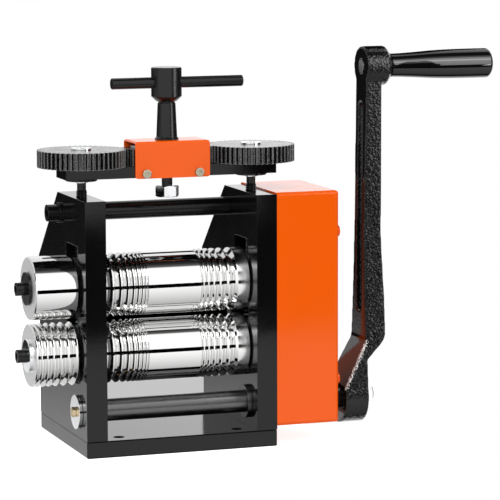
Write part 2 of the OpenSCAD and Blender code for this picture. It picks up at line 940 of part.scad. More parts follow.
// The arm seen from the front, in X and Z, with a rounded elbow on each side
module arm_side_outline() {
  hub_end = hub_x + hub_l;
  low_out = arm_x + arm_low_t;
  top_out = boss_x + arm_top_t;
  top = crank_r + boss_r + over;
  elbow_z = arm_z(neck_outer_share) + (low_out - hub_end) / tan(neck_outer_slope);
  polygon(rounded_outline([
    [[hub_x, -hub_r - over], 0], [[hub_x, arm_z(neck_low_share)], neck_inner_r],
    [[arm_x, arm_z(neck_inner_share)], neck_inner_r], [[arm_x, arm_z(arm_slim_share)], 0],
    [[boss_x, crank_r], 0], [[boss_x, top], 0], [[top_out, top], 0],
    [[top_out, arm_z(arm_slim_share)], 0], [[low_out, arm_z(arm_thick_share)], 0],
    [[low_out, elbow_z], neck_r], [[hub_end, arm_z(neck_outer_share)], 0],
    [[hub_end, -hub_r - over], 0]
  ], 4));
}

// The arm seen along the shaft, in Y and Z
module arm_face_outline() {
  last = len(arm_width_shares) - 1;
  circle(r = hub_r);
  translate([0, crank_r]) circle(r = boss_r);
  polygon(concat(
    [for (i = [0:last]) [arm_width_shares[i][1] * hub_r, arm_z(arm_width_shares[i][0])]],
    [for (i = [last:-1:0]) [-arm_width_shares[i][1] * hub_r, arm_z(arm_width_shares[i][0])]]
  ));
}

// The long channel in each flat of the arm
module arm_channel() {
  low = arm_z(channel_low_share);
  high = arm_z(channel_high_share);
  translate([0, (low + high) / 2]) rounded_rect(channel_w, high - low, channel_w / 2 - channel_round);
}

module crank_arm() {
  web_x = arm_x + (arm_low_t - web_t) / 2;
  color("#17181a") at_shaft() difference() {
    union() {
      intersection() {
        translate([0, 2 * hub_r, 0]) rotate([90, 0, 0]) linear_extrude(4 * hub_r) arm_side_outline();
        plate_x_profile(hub_x, arm_x + arm_low_t - hub_x + over) arm_face_outline();
      }
      translate([0, 0, crank_r]) turned_x([
        [boss_x, boss_r - boss_bevel], [boss_x + boss_bevel, boss_r],
        [boss_x + boss_l - boss_taper, boss_r], [boss_x + boss_l, grip_neck_d / 2]
      ]);
    }
    plate_x_profile(arm_x - over, web_x - arm_x + over) arm_channel();
    plate_x_profile(web_x + web_t, arm_low_t) arm_channel();
    flat_bore(hub_x, hub_l);
    translate([0, 0, crank_r]) rod_x(boss_x - over, boss_l + 2 * over, grip_spindle_d + slide);
  }
}

module crank_washer() {
  color("#c9ccd0") at_shaft()
    ring_x(hub_x + hub_l, crank_washer_t, crank_washer_d, shaft_thread_d + 2 * slide);
}

module crank_nut() {
  x0 = hub_x + hub_l + crank_washer_t;
  color("#c9ccd0") at_shaft() difference() {
    hex_x(x0, crank_nut_h, crank_nut_af);
    rod_x(x0 - over, crank_nut_h + 2 * over, shaft_thread_d + slide);
  }
}

module grip_spindle() {
  end = grip_x + grip_l - grip_recess + face_gap;
  color("#8c8f93") translate([0, shaft_y, grip_z]) turned_x([
    [boss_x - face_gap, grip_spindle_d / 2], [end, grip_spindle_d / 2],
    [end, grip_head_d / 2], [end + grip_head_t, grip_head_d / 2]
  ]);
}

// Outline of the grip as shares of its length and of its radius
grip_shares = [[0, 0.785], [0.1, 0.8], [0.25, 0.86], [0.42, 0.94], [0.6, 0.985], [0.8, 1]];

module crank_grip() {
  r = grip_d / 2;
  arc_steps = 4;
  color("#101113") translate([grip_x, shaft_y, grip_z]) difference() {
    turned_x(concat(
      [for (p = grip_shares) [p[0] * grip_l, p[1] * r]],
      [for (k = [0:arc_steps])
        let (a = 90 - 90 * k / arc_steps)
        [grip_l - grip_round + grip_round * cos(a), r - grip_round + grip_round * sin(a)]]
    ));
    rod_x(-over, grip_l + 2 * over, grip_spindle_d + 2 * run);
    rod_x(grip_l - grip_recess, grip_recess + over, grip_recess_d);
  }
}

// Gear cover

module at_pillars() {
  for (y = [front_y + pillar_inset, front_y + cover_depth - pillar_inset],
       z = [pillar_low_z, pillar_high_z])
    translate([0, y, z]) children();
}

// The cover's outer form from the plate to x1, shrunk by inset on its other faces
module cover_form(inset, x0, x1) {
  w = x1 - x0;
  translate([x0 + w / 2, cover_cy, cover_z + cover_h / 2]) intersection() {
    rotate([90, 0, 90]) linear_extrude(w, center = true)
      rounded_rect(cover_depth - 2 * inset, cover_h - 2 * inset, cover_r - inset);
    translate([-cover_r, 0, 0]) linear_extrude(cover_h, center = true)
      rounded_rect(w + 2 * cover_r, cover_depth - 2 * inset, cover_r - inset);
    translate([-cover_r, 0, 0]) rotate([90, 0, 0]) linear_extrude(cover_depth, center = true)
      rounded_rect(w + 2 * cover_r, cover_h - 2 * inset, cover_r - inset);
  }
}

module gear_cover() {
  end_x = outer_x + cover_w;
  color("#ff6a0a") difference() {
    cover_form(0, outer_x, end_x);
    cover_form(cover_wall, outer_x - over, end_x - cover_wall);
    at_shaft() rod_x(outer_x, cover_w + over, cover_hole_d);
    at_pillars() rod_x(end_x - cover_wall - over, cover_wall + 2 * over, cover_screw_d + 2 * slide);
  }
}

module cover_pillars() {
  l = cover_w - cover_wall;
  color("#8c8f93") at_pillars() difference() {
    union() {
      rod_x(outer_x, l, pillar_d);
      rod_x(outer_x - pillar_stud, pillar_stud + over, cover_screw_d);
    }
    rod_x(outer_x + l - cover_screw_grip, cover_screw_grip + over, cover_screw_d + slide);
  }
}

module cover_screws() {
  x0 = outer_x + cover_w;
  color("#2a2b2d") at_pillars() difference() {
    union() {
      rod_x(x0, cover_head_h, cover_head_d);
      rod_x(x0 - cover_wall - cover_screw_grip + over, cover_wall + cover_screw_grip - over,
        cover_screw_d);
    }
    hex_x(x0 + cover_head_h * (1 - socket_share), cover_head_h, cover_socket_d);
  }
}

// Bridge bar, bracket and handle

module at_bridge(z) translate([0, roll_y, z]) children();

module bridge_bar() {
  color("#26282b") at_bridge(bar_z) difference() {
    translate([0, 0, bar_t / 2]) cube([bar_l, bar_w, bar_t], center = true);
    for (sx = [-1, 1]) {
      translate([sx * plate_x, 0, -over])
        cylinder(h = bar_t + 2 * over, d = screw_journal_d + 2 * run);
      translate([sx * idler_x, 0, -over]) cylinder(h = bar_t + 2 * over, d = idler_pin_d + slide);
    }
    translate([0, 0, -over]) cylinder(h = bar_t + 2 * over, d = spindle_d + 2 * run);
    at_bracket_screws()
      translate([0, 0, -bracket_screw_grip - over])
        cylinder(h = bracket_screw_grip + 2 * over, d = bracket_screw_d + slide);
  }
}

// The bracket's screws on its front and rear wall, each pointing out of the bar along Z
module at_bracket_screws() {
  for (s = [0, 180], sx = [-1, 1])
    rotate([0, 0, s]) translate([sx * bracket_screw_dx / 2, -bar_w / 2, bracket_screw_rise])
      rotate([90, 0, 0]) children();
}

module gear_bracket() {
  outer_w = bar_w + 2 * bracket_wall;
  h = bracket_h;
  color("#ff6a0a") at_bridge(bracket_low_z) difference() {
    translate([0, 0, h / 2]) intersection() {
      rotate([90, 0, 90]) linear_extrude(bracket_l, center = true)
        translate([0, -bracket_bend]) rounded_rect(outer_w, h + 2 * bracket_bend, bracket_bend);
      cube([bracket_l, outer_w, h], center = true);
      rotate([90, 0, 0]) linear_extrude(outer_w, center = true)
        rounded_rect(bracket_l, h, bracket_corner);
    }
    translate([0, 0, (h - bracket_wall - over) / 2])
      cube([bracket_l + 2 * over, bar_w, h - bracket_wall + over], center = true);
    cylinder(h = h + over, d = spindle_d + 2 * slide);
    translate([0, 0, bracket_drop]) at_bracket_screws()
      translate([0, 0, -over]) cylinder(h = bracket_wall + 2 * over, d = bracket_screw_d + 2 * slide);
  }
}

module bracket_screws() {
  color("#c9ccd0") at_bridge(bar_z) at_bracket_screws() difference() {
    union() {
      translate([0, 0, bracket_wall]) cylinder(h = bracket_head_h, d = bracket_head_d);
      translate([0, 0, -bracket_screw_grip + over])
        cylinder(h = bracket_screw_grip + bracket_wall, d = bracket_screw_d);
    }
    translate([0, 0, bracket_wall + bracket_head_h * (1 - socket_share)])
      cylinder(h = bracket_head_h, d = bracket_socket_d / cos(30), $fn = 6);
  }
}

module idler_pins() {
  color("#8c8f93") at_bridge(bar_z) for (sx = [-1, 1]) translate([sx * idler_x, 0, 0]) {
    cylinder(h = bar_t + adjust_gear_t + 2 * face_gap, d = idler_pin_d);
    translate([0, 0, bar_t + adjust_gear_t + 2 * face_gap])
      cylinder(h = idler_pin_head_t, d = idler_pin_head_d);
  }
}

handle_phase = 0;
right_idler_phase = mesh_phase(handle_phase, 0, handle_teeth, idler_teeth);
right_gear_phase = mesh_phase(right_idler_phase, 0, idler_teeth, gear_teeth);
left_idler_phase = mesh_phase(handle_phase, 180, handle_teeth, idler_teeth);
left_gear_phase = mesh_phase(left_idler_phase, 180, idler_teeth, gear_teeth);

// A gear of the adjusting train, at x on the bridge
module adjust_spur(x, teeth, phase, bore) {
  at_bridge(adjust_z) translate([x, 0, 0]) difference() {
    linear_extrude(adjust_gear_t) polygon(adjust_outline(teeth, phase));
    translate([0, 0, -over]) cylinder(h = adjust_gear_t + 2 * over, d = bore);
  }
}

module left_idler_gear() {
  color("#4a4c50") adjust_spur(-idler_x, idler_teeth, left_idler_phase, idler_pin_d + 2 * run);
}

module right_idler_gear() {
  color("#4a4c50") adjust_spur(idler_x, idler_teeth, right_idler_phase, idler_pin_d + 2 * run);
}

module handle_pinion() {
  color("#4a4c50") adjust_spur(0, handle_teeth, handle_phase, spindle_d + slide);
}

module handle_stem() {
  foot_z = bracket_top + face_gap;
  hub_top = hub_low_z + hub_h;
  color("#1c1d1f") at_bridge(0) difference() {
    turned_z([
      [stud_d / 2, handle_nut_top - handle_nut_h], [stud_d / 2, bar_z - over],
      [spindle_d / 2, bar_z - over], [spindle_d / 2, foot_z],
      [stem_foot_d / 2, foot_z], [stem_foot_d / 2, foot_z + stem_foot_h / 2],
      [stem_low_d / 2, foot_z + stem_foot_h], [stem_top_d / 2, hub_low_z - hub_cone_h],
      [hub_d / 2 - over, hub_low_z], [hub_d / 2, hub_low_z + over],
      [hub_d / 2, hub_top - hub_round], [hub_d / 2 - hub_round, hub_top]
    ]);
    translate([0, 0, tommy_z]) rod_x(-hub_d, 2 * hub_d, tommy_d + 2 * run);
  }
}

module tommy_bar() {
  r = tommy_d / 2;
  low = tommy_offset - tommy_l / 2;
  high = tommy_offset + tommy_l / 2;
  color("#1c1d1f") at_bridge(tommy_z) turned_x([
    [low, r - tommy_round], [low + tommy_round, r], [high - tommy_round, r], [high, r - tommy_round]
  ]);
}

module handle_nut() {
  color("#c9ccd0") at_bridge(handle_nut_top - handle_nut_h) difference() {
    cylinder(h = handle_nut_h, d = handle_nut_af / cos(30), $fn = 6);
    translate([0, 0, -over]) cylinder(h = handle_nut_h + 2 * over, d = stud_d + slide);
  }
}

// Pressure screws

tip_z = upper_roll_z + block_h / 2 - spring_pocket + screw_tip_gap;
gear_top = adjust_z + adjust_gear_t;

module pressure_screw() {
  translate([plate_x, roll_y, 0]) turned_z([
    [screw_core_d / 2, tip_z], [screw_d / 2, tip_z + over], [screw_d / 2, thread_top_z],
    [screw_core_d / 2, thread_top_z + over], [screw_core_d / 2, bar_z - flange_t - face_gap],
    [flange_d / 2, bar_z - flange_t - face_gap],
    [flange_d / 2, bar_z - face_gap], [screw_journal_d / 2, bar_z - face_gap],
    [screw_journal_d / 2, gear_top], [stub_d / 2, gear_top],
    [stub_d / 2, gear_top + gear_washer_t / 2]
  ]);
}

module left_screw() {
  color("#26282b") mirror([1, 0, 0]) pressure_screw();
}

module right_screw() {
  color("#26282b") pressure_screw();
}

module adjusting_gear(side, phase) {
  adjust_spur(side * plate_x, gear_teeth, phase, screw_journal_d + slide);
}

module left_adjusting_gear() {
  color("#2e3033") adjusting_gear(-1, left_gear_phase);
}

module right_adjusting_gear() {
  color("#2e3033") adjusting_gear(1, right_gear_phase);
}

module ring_z(z, h, d, bore) {
  translate([0, 0, z]) difference() {
    cylinder(h = h, d = d);
    translate([0, 0, -over]) cylinder(h = h + 2 * over, d = bore);
  }
}

// The bright washer on the gear and the bright ring under the flange
module screw_rings(side) {
  translate([side * plate_x, roll_y, 0]) {
    ring_z(gear_top, gear_washer_t, gear_washer_d, stub_d + slide);
    ring_z(bar_z - face_gap - flange_t - ring_t, ring_t, ring_d, screw_core_d + slide);
  }
}

module left_screw_rings() {
  color("#d9dcdf") screw_rings(-1);
}

module right_screw_rings() {
  color("#d9dcdf") screw_rings(1);
}

base_plate();
base_screws();
left_side_plate();
right_side_plate();
tie_bar();
tie_bar_screws();
tie_bar_washers();
lower_bearing_blocks();
lower_roll_bushes();
shaft_bushes();
gear_cover();
cover_pillars();
cover_screws();
drive_shaft();
shaft_collar();
drive_pinion();
shaft_sleeve();
shaft_end_washer();
shaft_end_bolt();
crank_arm();
crank_washer();
crank_nut();
grip_spindle();
crank_grip();
lower_roll();
lower_side_roller();
lower_side_washer();
lower_side_bolt();
driven_gear();
lower_coupling_gear();
lower_gear_spacers();
lower_roll_keys();
lower_circlip();
upper_roll();
upper_side_roller();
upper_side_washer();
upper_side_bolt();
upper_coupling_gear();
upper_gear_sleeve();
upper_roll_keys();
upper_circlip();
upper_bearing_blocks();
upper_roll_bushes();
block_springs();
bridge_bar();
gear_bracket();
bracket_screws();
idler_pins();
handle_stem();
handle_pinion();
handle_nut();
tommy_bar();
left_idler_gear();
right_idler_gear();
left_screw();
left_adjusting_gear();
left_screw_rings();
right_screw();
right_adjusting_gear();
right_screw_rings();
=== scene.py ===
"""Finishes, turned and cast pieces, stage and camera for a jeweller's hand cranked rolling mill."""

import json
import math

import bmesh
import bpy
from bpy.props import FloatProperty, FloatVectorProperty, IntProperty, PointerProperty
from mathutils import Matrix, Vector


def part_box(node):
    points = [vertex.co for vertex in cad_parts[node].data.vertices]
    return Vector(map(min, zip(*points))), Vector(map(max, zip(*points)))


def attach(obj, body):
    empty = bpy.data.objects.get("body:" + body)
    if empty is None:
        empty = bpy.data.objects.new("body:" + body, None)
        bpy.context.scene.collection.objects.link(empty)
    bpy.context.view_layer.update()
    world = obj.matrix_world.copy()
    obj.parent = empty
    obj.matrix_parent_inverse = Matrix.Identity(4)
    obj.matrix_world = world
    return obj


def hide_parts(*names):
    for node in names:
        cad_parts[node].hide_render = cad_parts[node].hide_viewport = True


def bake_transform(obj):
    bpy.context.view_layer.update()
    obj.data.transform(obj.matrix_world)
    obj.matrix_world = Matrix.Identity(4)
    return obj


bl_info = {
    "name": "Jewellers Rolling Mill",
    "version": (1, 0, 0),
    "blender": (4, 5, 0),
    "location": "View3D > Sidebar > Rolling Mill",
    "description": "Dresses the packed rolling mill with finishes, finer pieces, a stage and a camera",
    "category": "Add Mesh",
}

MM = 0.001

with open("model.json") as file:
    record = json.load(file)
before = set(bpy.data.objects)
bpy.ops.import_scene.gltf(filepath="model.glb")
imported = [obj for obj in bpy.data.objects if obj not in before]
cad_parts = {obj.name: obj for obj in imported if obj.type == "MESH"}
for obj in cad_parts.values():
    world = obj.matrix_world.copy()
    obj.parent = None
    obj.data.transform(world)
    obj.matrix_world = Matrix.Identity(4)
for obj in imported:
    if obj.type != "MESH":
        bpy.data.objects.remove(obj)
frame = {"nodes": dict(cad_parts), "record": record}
RECORD = frame["record"]
BODY_OF = {node: body for body, nodes in RECORD["behaviour"]["bodies"].items() for node in nodes}
SLOT_OF = {part["node"]: part["material_slot"] for part in RECORD["subparts"]}
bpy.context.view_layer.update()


# Sizes and colours that a user would change

class MillFinish(bpy.types.PropertyGroup):
    """Colours and gloss of the mill's finishes."""
    orange: FloatVectorProperty(
        name="Orange paint", description="Colour of the gear cover and the gear bracket",
        subtype="COLOR", size=3, min=0, max=1, default=(1.0, 0.122, 0.001))
    black: FloatVectorProperty(
        name="Black paint", description="Colour of the plates, the base and the crank",
        subtype="COLOR", size=3, min=0, max=1, default=(0.0035, 0.0035, 0.0038))
    oxide: FloatVectorProperty(
        name="Black oxide", description="Colour of the blackened steel",
        subtype="COLOR", size=3, min=0, max=1, default=(0.006, 0.006, 0.0063))
    roll_gloss: FloatProperty(
        name="Roll roughness", description="Roughness of the polished rolls",
        min=0, max=1, default=0.045, subtype="FACTOR")
    edge: FloatProperty(
        name="Edge radius", description="Radius that catches the light along cut edges",
        min=0, default=0.35 * MM, unit="LENGTH")


class MillTurning(bpy.types.PropertyGroup):
    """Fineness of the turned pieces, the threads and the casting."""
    segments: IntProperty(
        name="Segments", description="Faces round a roll", min=24, max=256, default=144)
    broken_edge: FloatProperty(
        name="Broken edge", description="Width of the tiny bevel on each turned corner",
        min=0, default=0.07 * MM, unit="LENGTH")
    pitch: FloatProperty(
        name="Thread pitch", description="Rise of a pressure screw in one turn",
        min=0.5 * MM, default=1.5 * MM, unit="LENGTH")
    thread: FloatProperty(
        name="Thread depth", description="Depth of the pressure screws' threads",
        min=0, default=0.55 * MM, unit="LENGTH")
    grain: FloatProperty(
        name="Casting grain", description="Edge length of the faces of the cast crank",
        min=0.4 * MM, default=0.85 * MM, unit="LENGTH")
    lumps: FloatProperty(
        name="Casting lumps", description="Depth of the lumps in the crank's cast skin",
        min=0, default=0.3 * MM, unit="LENGTH")


class MillStage(bpy.types.PropertyGroup):
    """The studio: floor, lamps and the camera's place."""
    floor_size: FloatProperty(
        name="Floor", description="Twice the distance from the mill to the floor's far edges",
        min=1, default=9.0, unit="LENGTH")
    camera_place: FloatVectorProperty(
        name="Camera place", description="Where the camera stands", subtype="TRANSLATION", size=3,
        default=(-0.6085, -1.9599, 0.4048), unit="LENGTH")
    yaw: FloatProperty(
        name="Yaw", description="Camera's turn to the right of straight back",
        default=math.radians(19.145), unit="ROTATION")
    pitch: FloatProperty(
        name="Pitch", description="Camera's tilt downwards", default=math.radians(7.448), unit="ROTATION")
    roll: FloatProperty(
        name="Roll", description="Camera's turn about its own axis",
        default=math.radians(-0.171), unit="ROTATION")
    lens: FloatProperty(
        name="Lens", description="Focal length on a 36 mm sensor, in millimetres", min=1, default=206.46)


# Shader nodes

FLOAT, VECTOR = "NodeSocketFloat", "NodeSocketVector"
# The ends of the crank dog-leg's front edge, where the chipped paint is painted near-white as a highlight
CHIP_AND_HIGHLIGHT_FROM = (124.3 * MM, -59.0 * MM, 38.5 * MM)
CHIP_AND_HIGHLIGHT_TO = (140.6 * MM, -56.2 * MM, 70.0 * MM)
# What every finish's name ends with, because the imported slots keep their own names
FINISHED = "_finish"


class NodeBuilder:
    """Adds nodes to a tree and links their sockets."""

    def __init__(self, tree):
        self.tree = tree

    def add(self, kind, **settings):
        node = self.tree.nodes.new(kind)
        for name, value in settings.items():
            setattr(node, name, value)
        return node

    def link(self, source, target):
        self.tree.links.new(source, target)

    def put(self, socket, value):
        """Links a socket, or sets a plain value."""
        if isinstance(value, bpy.types.NodeSocket):
            self.link(value, socket)
        else:
            socket.default_value = value

    def math(self, operation, *values):
        node = self.add("ShaderNodeMath", operation=operation)
        for socket, value in zip(node.inputs, values):
            self.put(socket, value)
        return node.outputs[0]

    def spread(self, value, low, high, to_low=0.0, to_high=1.0):
        """Maps a value from one range to another, clamped."""
        node = self.add("ShaderNodeMapRange")
        for name, number in (("Value", value), ("From Min", low), ("From Max", high),
                             ("To Min", to_low), ("To Max", to_high)):
            self.put(node.inputs[name], number)
        return node.outputs["Result"]


def shader_group(name, inputs, outputs):
    """A shader node group with named sockets; returns its builder and its two ends."""
    tree = bpy.data.node_groups.new(name, "ShaderNodeTree")
    for socket_name, kind, default in inputs:
        socket = tree.interface.new_socket(socket_name, in_out="INPUT", socket_type=kind)
        socket.default_value = default
    for socket_name, kind in outputs:
        tree.interface.new_socket(socket_name, in_out="OUTPUT", socket_type=kind)
    build = NodeBuilder(tree)
    return build, build.add("NodeGroupInput"), build.add("NodeGroupOutput")


def object_noise(build, scale, detail, vector=None):
    """Noise on object coordinates, or on a vector made from them."""
    if vector is None:
        vector = build.add("ShaderNodeTexCoord").outputs["Object"]
    noise = build.add("ShaderNodeTexNoise")
    build.link(vector, noise.inputs["Vector"])
    build.put(noise.inputs["Scale"], scale)
    noise.inputs["Detail"].default_value = detail
    return noise.outputs["Fac"]


def make_uneven_group():
    """Handling marks: a slow and a fine noise that vary a value round its base."""
    build, ends, out = shader_group(
        "uneven", [("Base", FLOAT, 0.3), ("Amount", FLOAT, 0.1), ("Scale", FLOAT, 60.0)],
        [("Value", FLOAT)])
    slow = object_noise(build, ends.outputs["Scale"], 2.0)
    fine = object_noise(build, build.math("MULTIPLY", ends.outputs["Scale"], 9.0), 4.0)
    mixed = build.math("ADD", build.math("MULTIPLY", slow, 0.65), build.math("MULTIPLY", fine, 0.35))
    centred = build.math("SUBTRACT", mixed, 0.5)
    swing = build.math("MULTIPLY", centred, build.math("MULTIPLY", ends.outputs["Amount"], 4.0))
    build.link(build.math("ADD", ends.outputs["Base"], swing), out.inputs["Value"])


def make_skin_group():
    """The faint orange peel of sprayed paint."""
    build, ends, out = shader_group("paint_skin", [("Scale", FLOAT, 900.0)], [("Height", FLOAT)])
    peel = object_noise(build, ends.outputs["Scale"], 1.5)
    build.link(peel, out.inputs["Height"])


def make_cut_group():
    """Fine tool lines: noise on coordinates that are stretched along the cut."""
    build, ends, out = shader_group(
        "tool_lines", [("Stretch", VECTOR, (1.0, 1.0, 1.0)), ("Scale", FLOAT, 1000.0)],
        [("Height", FLOAT)])
    stretch = build.add("ShaderNodeVectorMath", operation="MULTIPLY")
    build.link(build.add("ShaderNodeTexCoord").outputs["Object"], stretch.inputs[0])
    build.link(ends.outputs["Stretch"], stretch.inputs[1])
    build.link(object_noise(build, ends.outputs["Scale"], 3.0, stretch.outputs[0]), out.inputs["Height"])


def make_cast_group():
    """The lumpy skin of a sand casting under thick paint, on the faces that look along Y."""
    build, ends, out = shader_group("cast_skin", [("Scale", FLOAT, 420.0)], [("Height", FLOAT)])
    place = build.add("ShaderNodeTexCoord").outputs["Object"]
    lumps = build.add("ShaderNodeTexVoronoi", feature="SMOOTH_F1")
    build.link(place, lumps.inputs["Vector"])
    build.link(ends.outputs["Scale"], lumps.inputs["Scale"])
    lumps.inputs["Smoothness"].default_value = 0.7
    grains = object_noise(build, build.math("MULTIPLY", ends.outputs["Scale"], 1.3), 3.0)
    height = build.math("ADD", build.math("MULTIPLY", lumps.outputs["Distance"], 0.9), grains)
    facing = build.add("ShaderNodeSeparateXYZ")
    build.link(build.add("ShaderNodeTexCoord").outputs["Normal"], facing.inputs[0])
    rough = build.spread(build.math("ABSOLUTE", facing.outputs[1]), 0.3, 0.75, 0.04, 1.0)
    build.link(build.math("MULTIPLY", height, rough), out.inputs["Height"])


def make_end_face_group():
    """A mask on faces that look along the rolls."""
    build, ends, out = shader_group("end_faces", [], [("Mask", FLOAT)])
    axis = build.add("ShaderNodeSeparateXYZ")
    build.link(build.add("ShaderNodeTexCoord").outputs["Normal"], axis.inputs[0])
    build.link(build.spread(build.math("ABSOLUTE", axis.outputs[0]), 0.9, 0.98), out.inputs["Mask"])


def make_right_end_group():
    """A mask on the collar at the geared end of the working rolls."""
    build, ends, out = shader_group(
        "right_end", [("Start", FLOAT, 44 * MM), ("Full", FLOAT, 52 * MM)], [("Mask", FLOAT)])
    axis = build.add("ShaderNodeSeparateXYZ")
    build.link(build.add("ShaderNodeTexCoord").outputs["Object"], axis.inputs[0])
    build.link(build.spread(axis.outputs[0], ends.outputs["Start"], ends.outputs["Full"]), out.inputs["Mask"])


def make_chip_and_highlight_group():
    """Chipped paint along the front edge of the crank's dog-leg, painted near-white as a highlight along the
    edge.
    """
    build, ends, out = shader_group(
        "worn_line", [("Start", VECTOR, CHIP_AND_HIGHLIGHT_FROM), ("End", VECTOR, CHIP_AND_HIGHLIGHT_TO), ("Width", FLOAT, 2.6 * MM)],
        [("Mask", FLOAT)])

    def vector(operation, *values):
        node = build.add("ShaderNodeVectorMath", operation=operation)
        for socket, value in zip(node.inputs, values):
            build.put(socket, value)
        return node

    place = build.add("ShaderNodeTexCoord").outputs["Object"]
    start, end = ends.outputs["Start"], ends.outputs["End"]
    run = vector("SUBTRACT", end, start).outputs[0]
    offset = vector("SUBTRACT", place, start).outputs[0]
    along = build.math("DIVIDE", vector("DOT_PRODUCT", offset, run).outputs["Value"],
                       vector("DOT_PRODUCT", run, run).outputs["Value"])
    share = build.spread(along, 0.0, 1.0)
    scaled = build.add("ShaderNodeVectorMath", operation="SCALE")
    build.link(run, scaled.inputs[0])
    build.link(share, scaled.inputs["Scale"])
    away = vector("LENGTH", vector("SUBTRACT", offset, scaled.outputs[0]).outputs[0]).outputs["Value"]
    ragged = build.math("MULTIPLY", build.spread(object_noise(build, 1100.0, 3.0), 0.4, 0.62),
                        ends.outputs["Width"])
    reach = build.math("SUBTRACT", ragged, away)
    build.link(build.spread(reach, 0.0, 0.15 * MM), out.inputs["Mask"])


def make_edge_group():
    """A rounded normal and a mask along sharp edges."""
    build, ends, out = shader_group(
        "edge_round", [("Radius", FLOAT, 0.0004)], [("Mask", FLOAT), ("Normal", VECTOR)])
    bevel = build.add("ShaderNodeBevel", samples=6)
    build.link(ends.outputs["Radius"], bevel.inputs["Radius"])
    face = build.add("ShaderNodeNewGeometry").outputs["Normal"]
    dot = build.add("ShaderNodeVectorMath", operation="DOT_PRODUCT")
    build.link(bevel.outputs["Normal"], dot.inputs[0])
    build.link(face, dot.inputs[1])
    build.link(build.spread(dot.outputs["Value"], 0.995, 0.85), out.inputs["Mask"])
    build.link(bevel.outputs["Normal"], out.inputs["Normal"])


def finish_of(node):
    """The finish that the record's slot for this node names."""
    return bpy.data.materials[SLOT_OF[node] + FINISHED]


class Finish:
    """A material being built round a Principled shader."""

    def __init__(self, name, colour, metallic=0.0, roughness=0.4, **sockets):
        self.material = bpy.data.materials.new(name + FINISHED)
        self.material.use_nodes = True
        self.build = NodeBuilder(self.material.node_tree)
        self.shader = self.material.node_tree.nodes["Principled BSDF"]
        self.set("Base Color", (*colour, 1.0))
        self.set("Metallic", metallic)
        self.set("Roughness", roughness)
        for socket, value in sockets.items():
            self.set(socket.replace("_", " "), value)

    def set(self, socket, value):
        self.build.put(self.shader.inputs[socket], value)

    def group(self, name, **values):
        node = self.build.add("ShaderNodeGroup")
        node.node_tree = bpy.data.node_groups[name]
        for socket, value in values.items():
            node.inputs[socket].default_value = value
        return node

    def uneven(self, base, amount, scale):
        """Roughness that varies over the surface."""
        self.set("Roughness", self.group("uneven", Base=base, Amount=amount, Scale=scale).outputs[0])

    def relief(self, heights, edge=None):
        """Bumps from (height socket, distance) pairs, over edges rounded by the given radius."""
        normal = None
        if edge:
            normal = self.group("edge_round", Radius=edge).outputs["Normal"]
        for height, distance in heights:
            bump = self.build.add("ShaderNodeBump")
            bump.inputs["Distance"].default_value = distance
            bump.inputs["Strength"].default_value = 1.0
            self.build.link(height, bump.inputs["Height"])
            if normal is not None:
                self.build.link(normal, bump.inputs["Normal"])
            normal = bump.outputs["Normal"]
        if normal is not None:
            self.build.link(normal, self.shader.inputs["Normal"])

    def blend(self, colour, other, mask):
        """A colour that turns to another where the mask is 1."""
        mix = self.build.add("ShaderNodeMix", data_type="RGBA")
        self.build.link(mask, mix.inputs["Factor"])
        mix.inputs[6].default_value = (*colour, 1.0)
        mix.inputs[7].default_value = (*other, 1.0)
        return mix.outputs[2]


# Finishes

def paint(name, colour, roughness, edge, peel=0.012 * MM, shine=0.5):
    """Sprayed paint or smooth plastic, with a faint orange peel."""
    finish = Finish(name, colour, roughness=roughness, Specular_IOR_Level=shine)
    finish.uneven(roughness, 0.04, 45.0)
    finish.relief([(finish.group("paint_skin", Scale=700.0).outputs[0], peel)], edge)
    return finish


# The lines of the cut, as the stretch of a noise
ALONG_X = (1.0, 0.03, 0.03)
ALONG_Z = (0.03, 0.03, 1.0)
ALL_WAYS = (1.0, 1.0, 1.0)
LINE_SCALE = 1200.0
LINE_DEPTH = 0.004 * MM
POLISHED = (0.7, 0.7, 0.695)


def steel(name, colour, roughness, edge, stretch, metallic=1.0, shine=0.5):
    """Cut metal with fine tool lines, bare, plated or blackened."""
    finish = Finish(name, colour, metallic=metallic, roughness=roughness, Specular_IOR_Level=shine)
    finish.uneven(roughness, 0.06, 120.0)
    lines = finish.group("tool_lines", Stretch=stretch, Scale=LINE_SCALE)
    finish.relief([(lines.outputs[0], LINE_DEPTH)], edge)
    return finish


def make_black_paint(sizes):
    return paint("black_paint", sizes.black, 0.1, sizes.edge, shine=0.28)


def make_orange_paint(sizes):
    return paint("orange_paint", sizes.orange, 0.14, sizes.edge * 0.4, peel=0.003 * MM, shine=0.27)


def make_black_steel(sizes):
    return steel("black_steel", sizes.oxide, 0.2, sizes.edge, ALL_WAYS, metallic=0.0, shine=0.3)


def make_black_shaft(sizes):
    return steel("black_shaft", (0.125, 0.125, 0.125), 0.32, sizes.edge, ALONG_X)


def make_black_gear(sizes):
    """Blackened teeth with a painted highlight along their edges."""
    finish = steel("black_gear", sizes.oxide, 0.2, sizes.edge * 0.5, ALL_WAYS, metallic=0.0, shine=0.5)
    mask = finish.group("edge_round", Radius=sizes.edge * 0.8).outputs["Mask"]
    # Painted highlight: the base colour turns near-white along every sharp edge of the teeth and rims.
    finish.set("Base Color", finish.blend(sizes.oxide, (0.9, 0.9, 0.9), mask))
    return finish


def make_screw_zinc(sizes):
    return steel("screw_zinc", (0.4, 0.37, 0.28), 0.2, sizes.edge, ALL_WAYS)


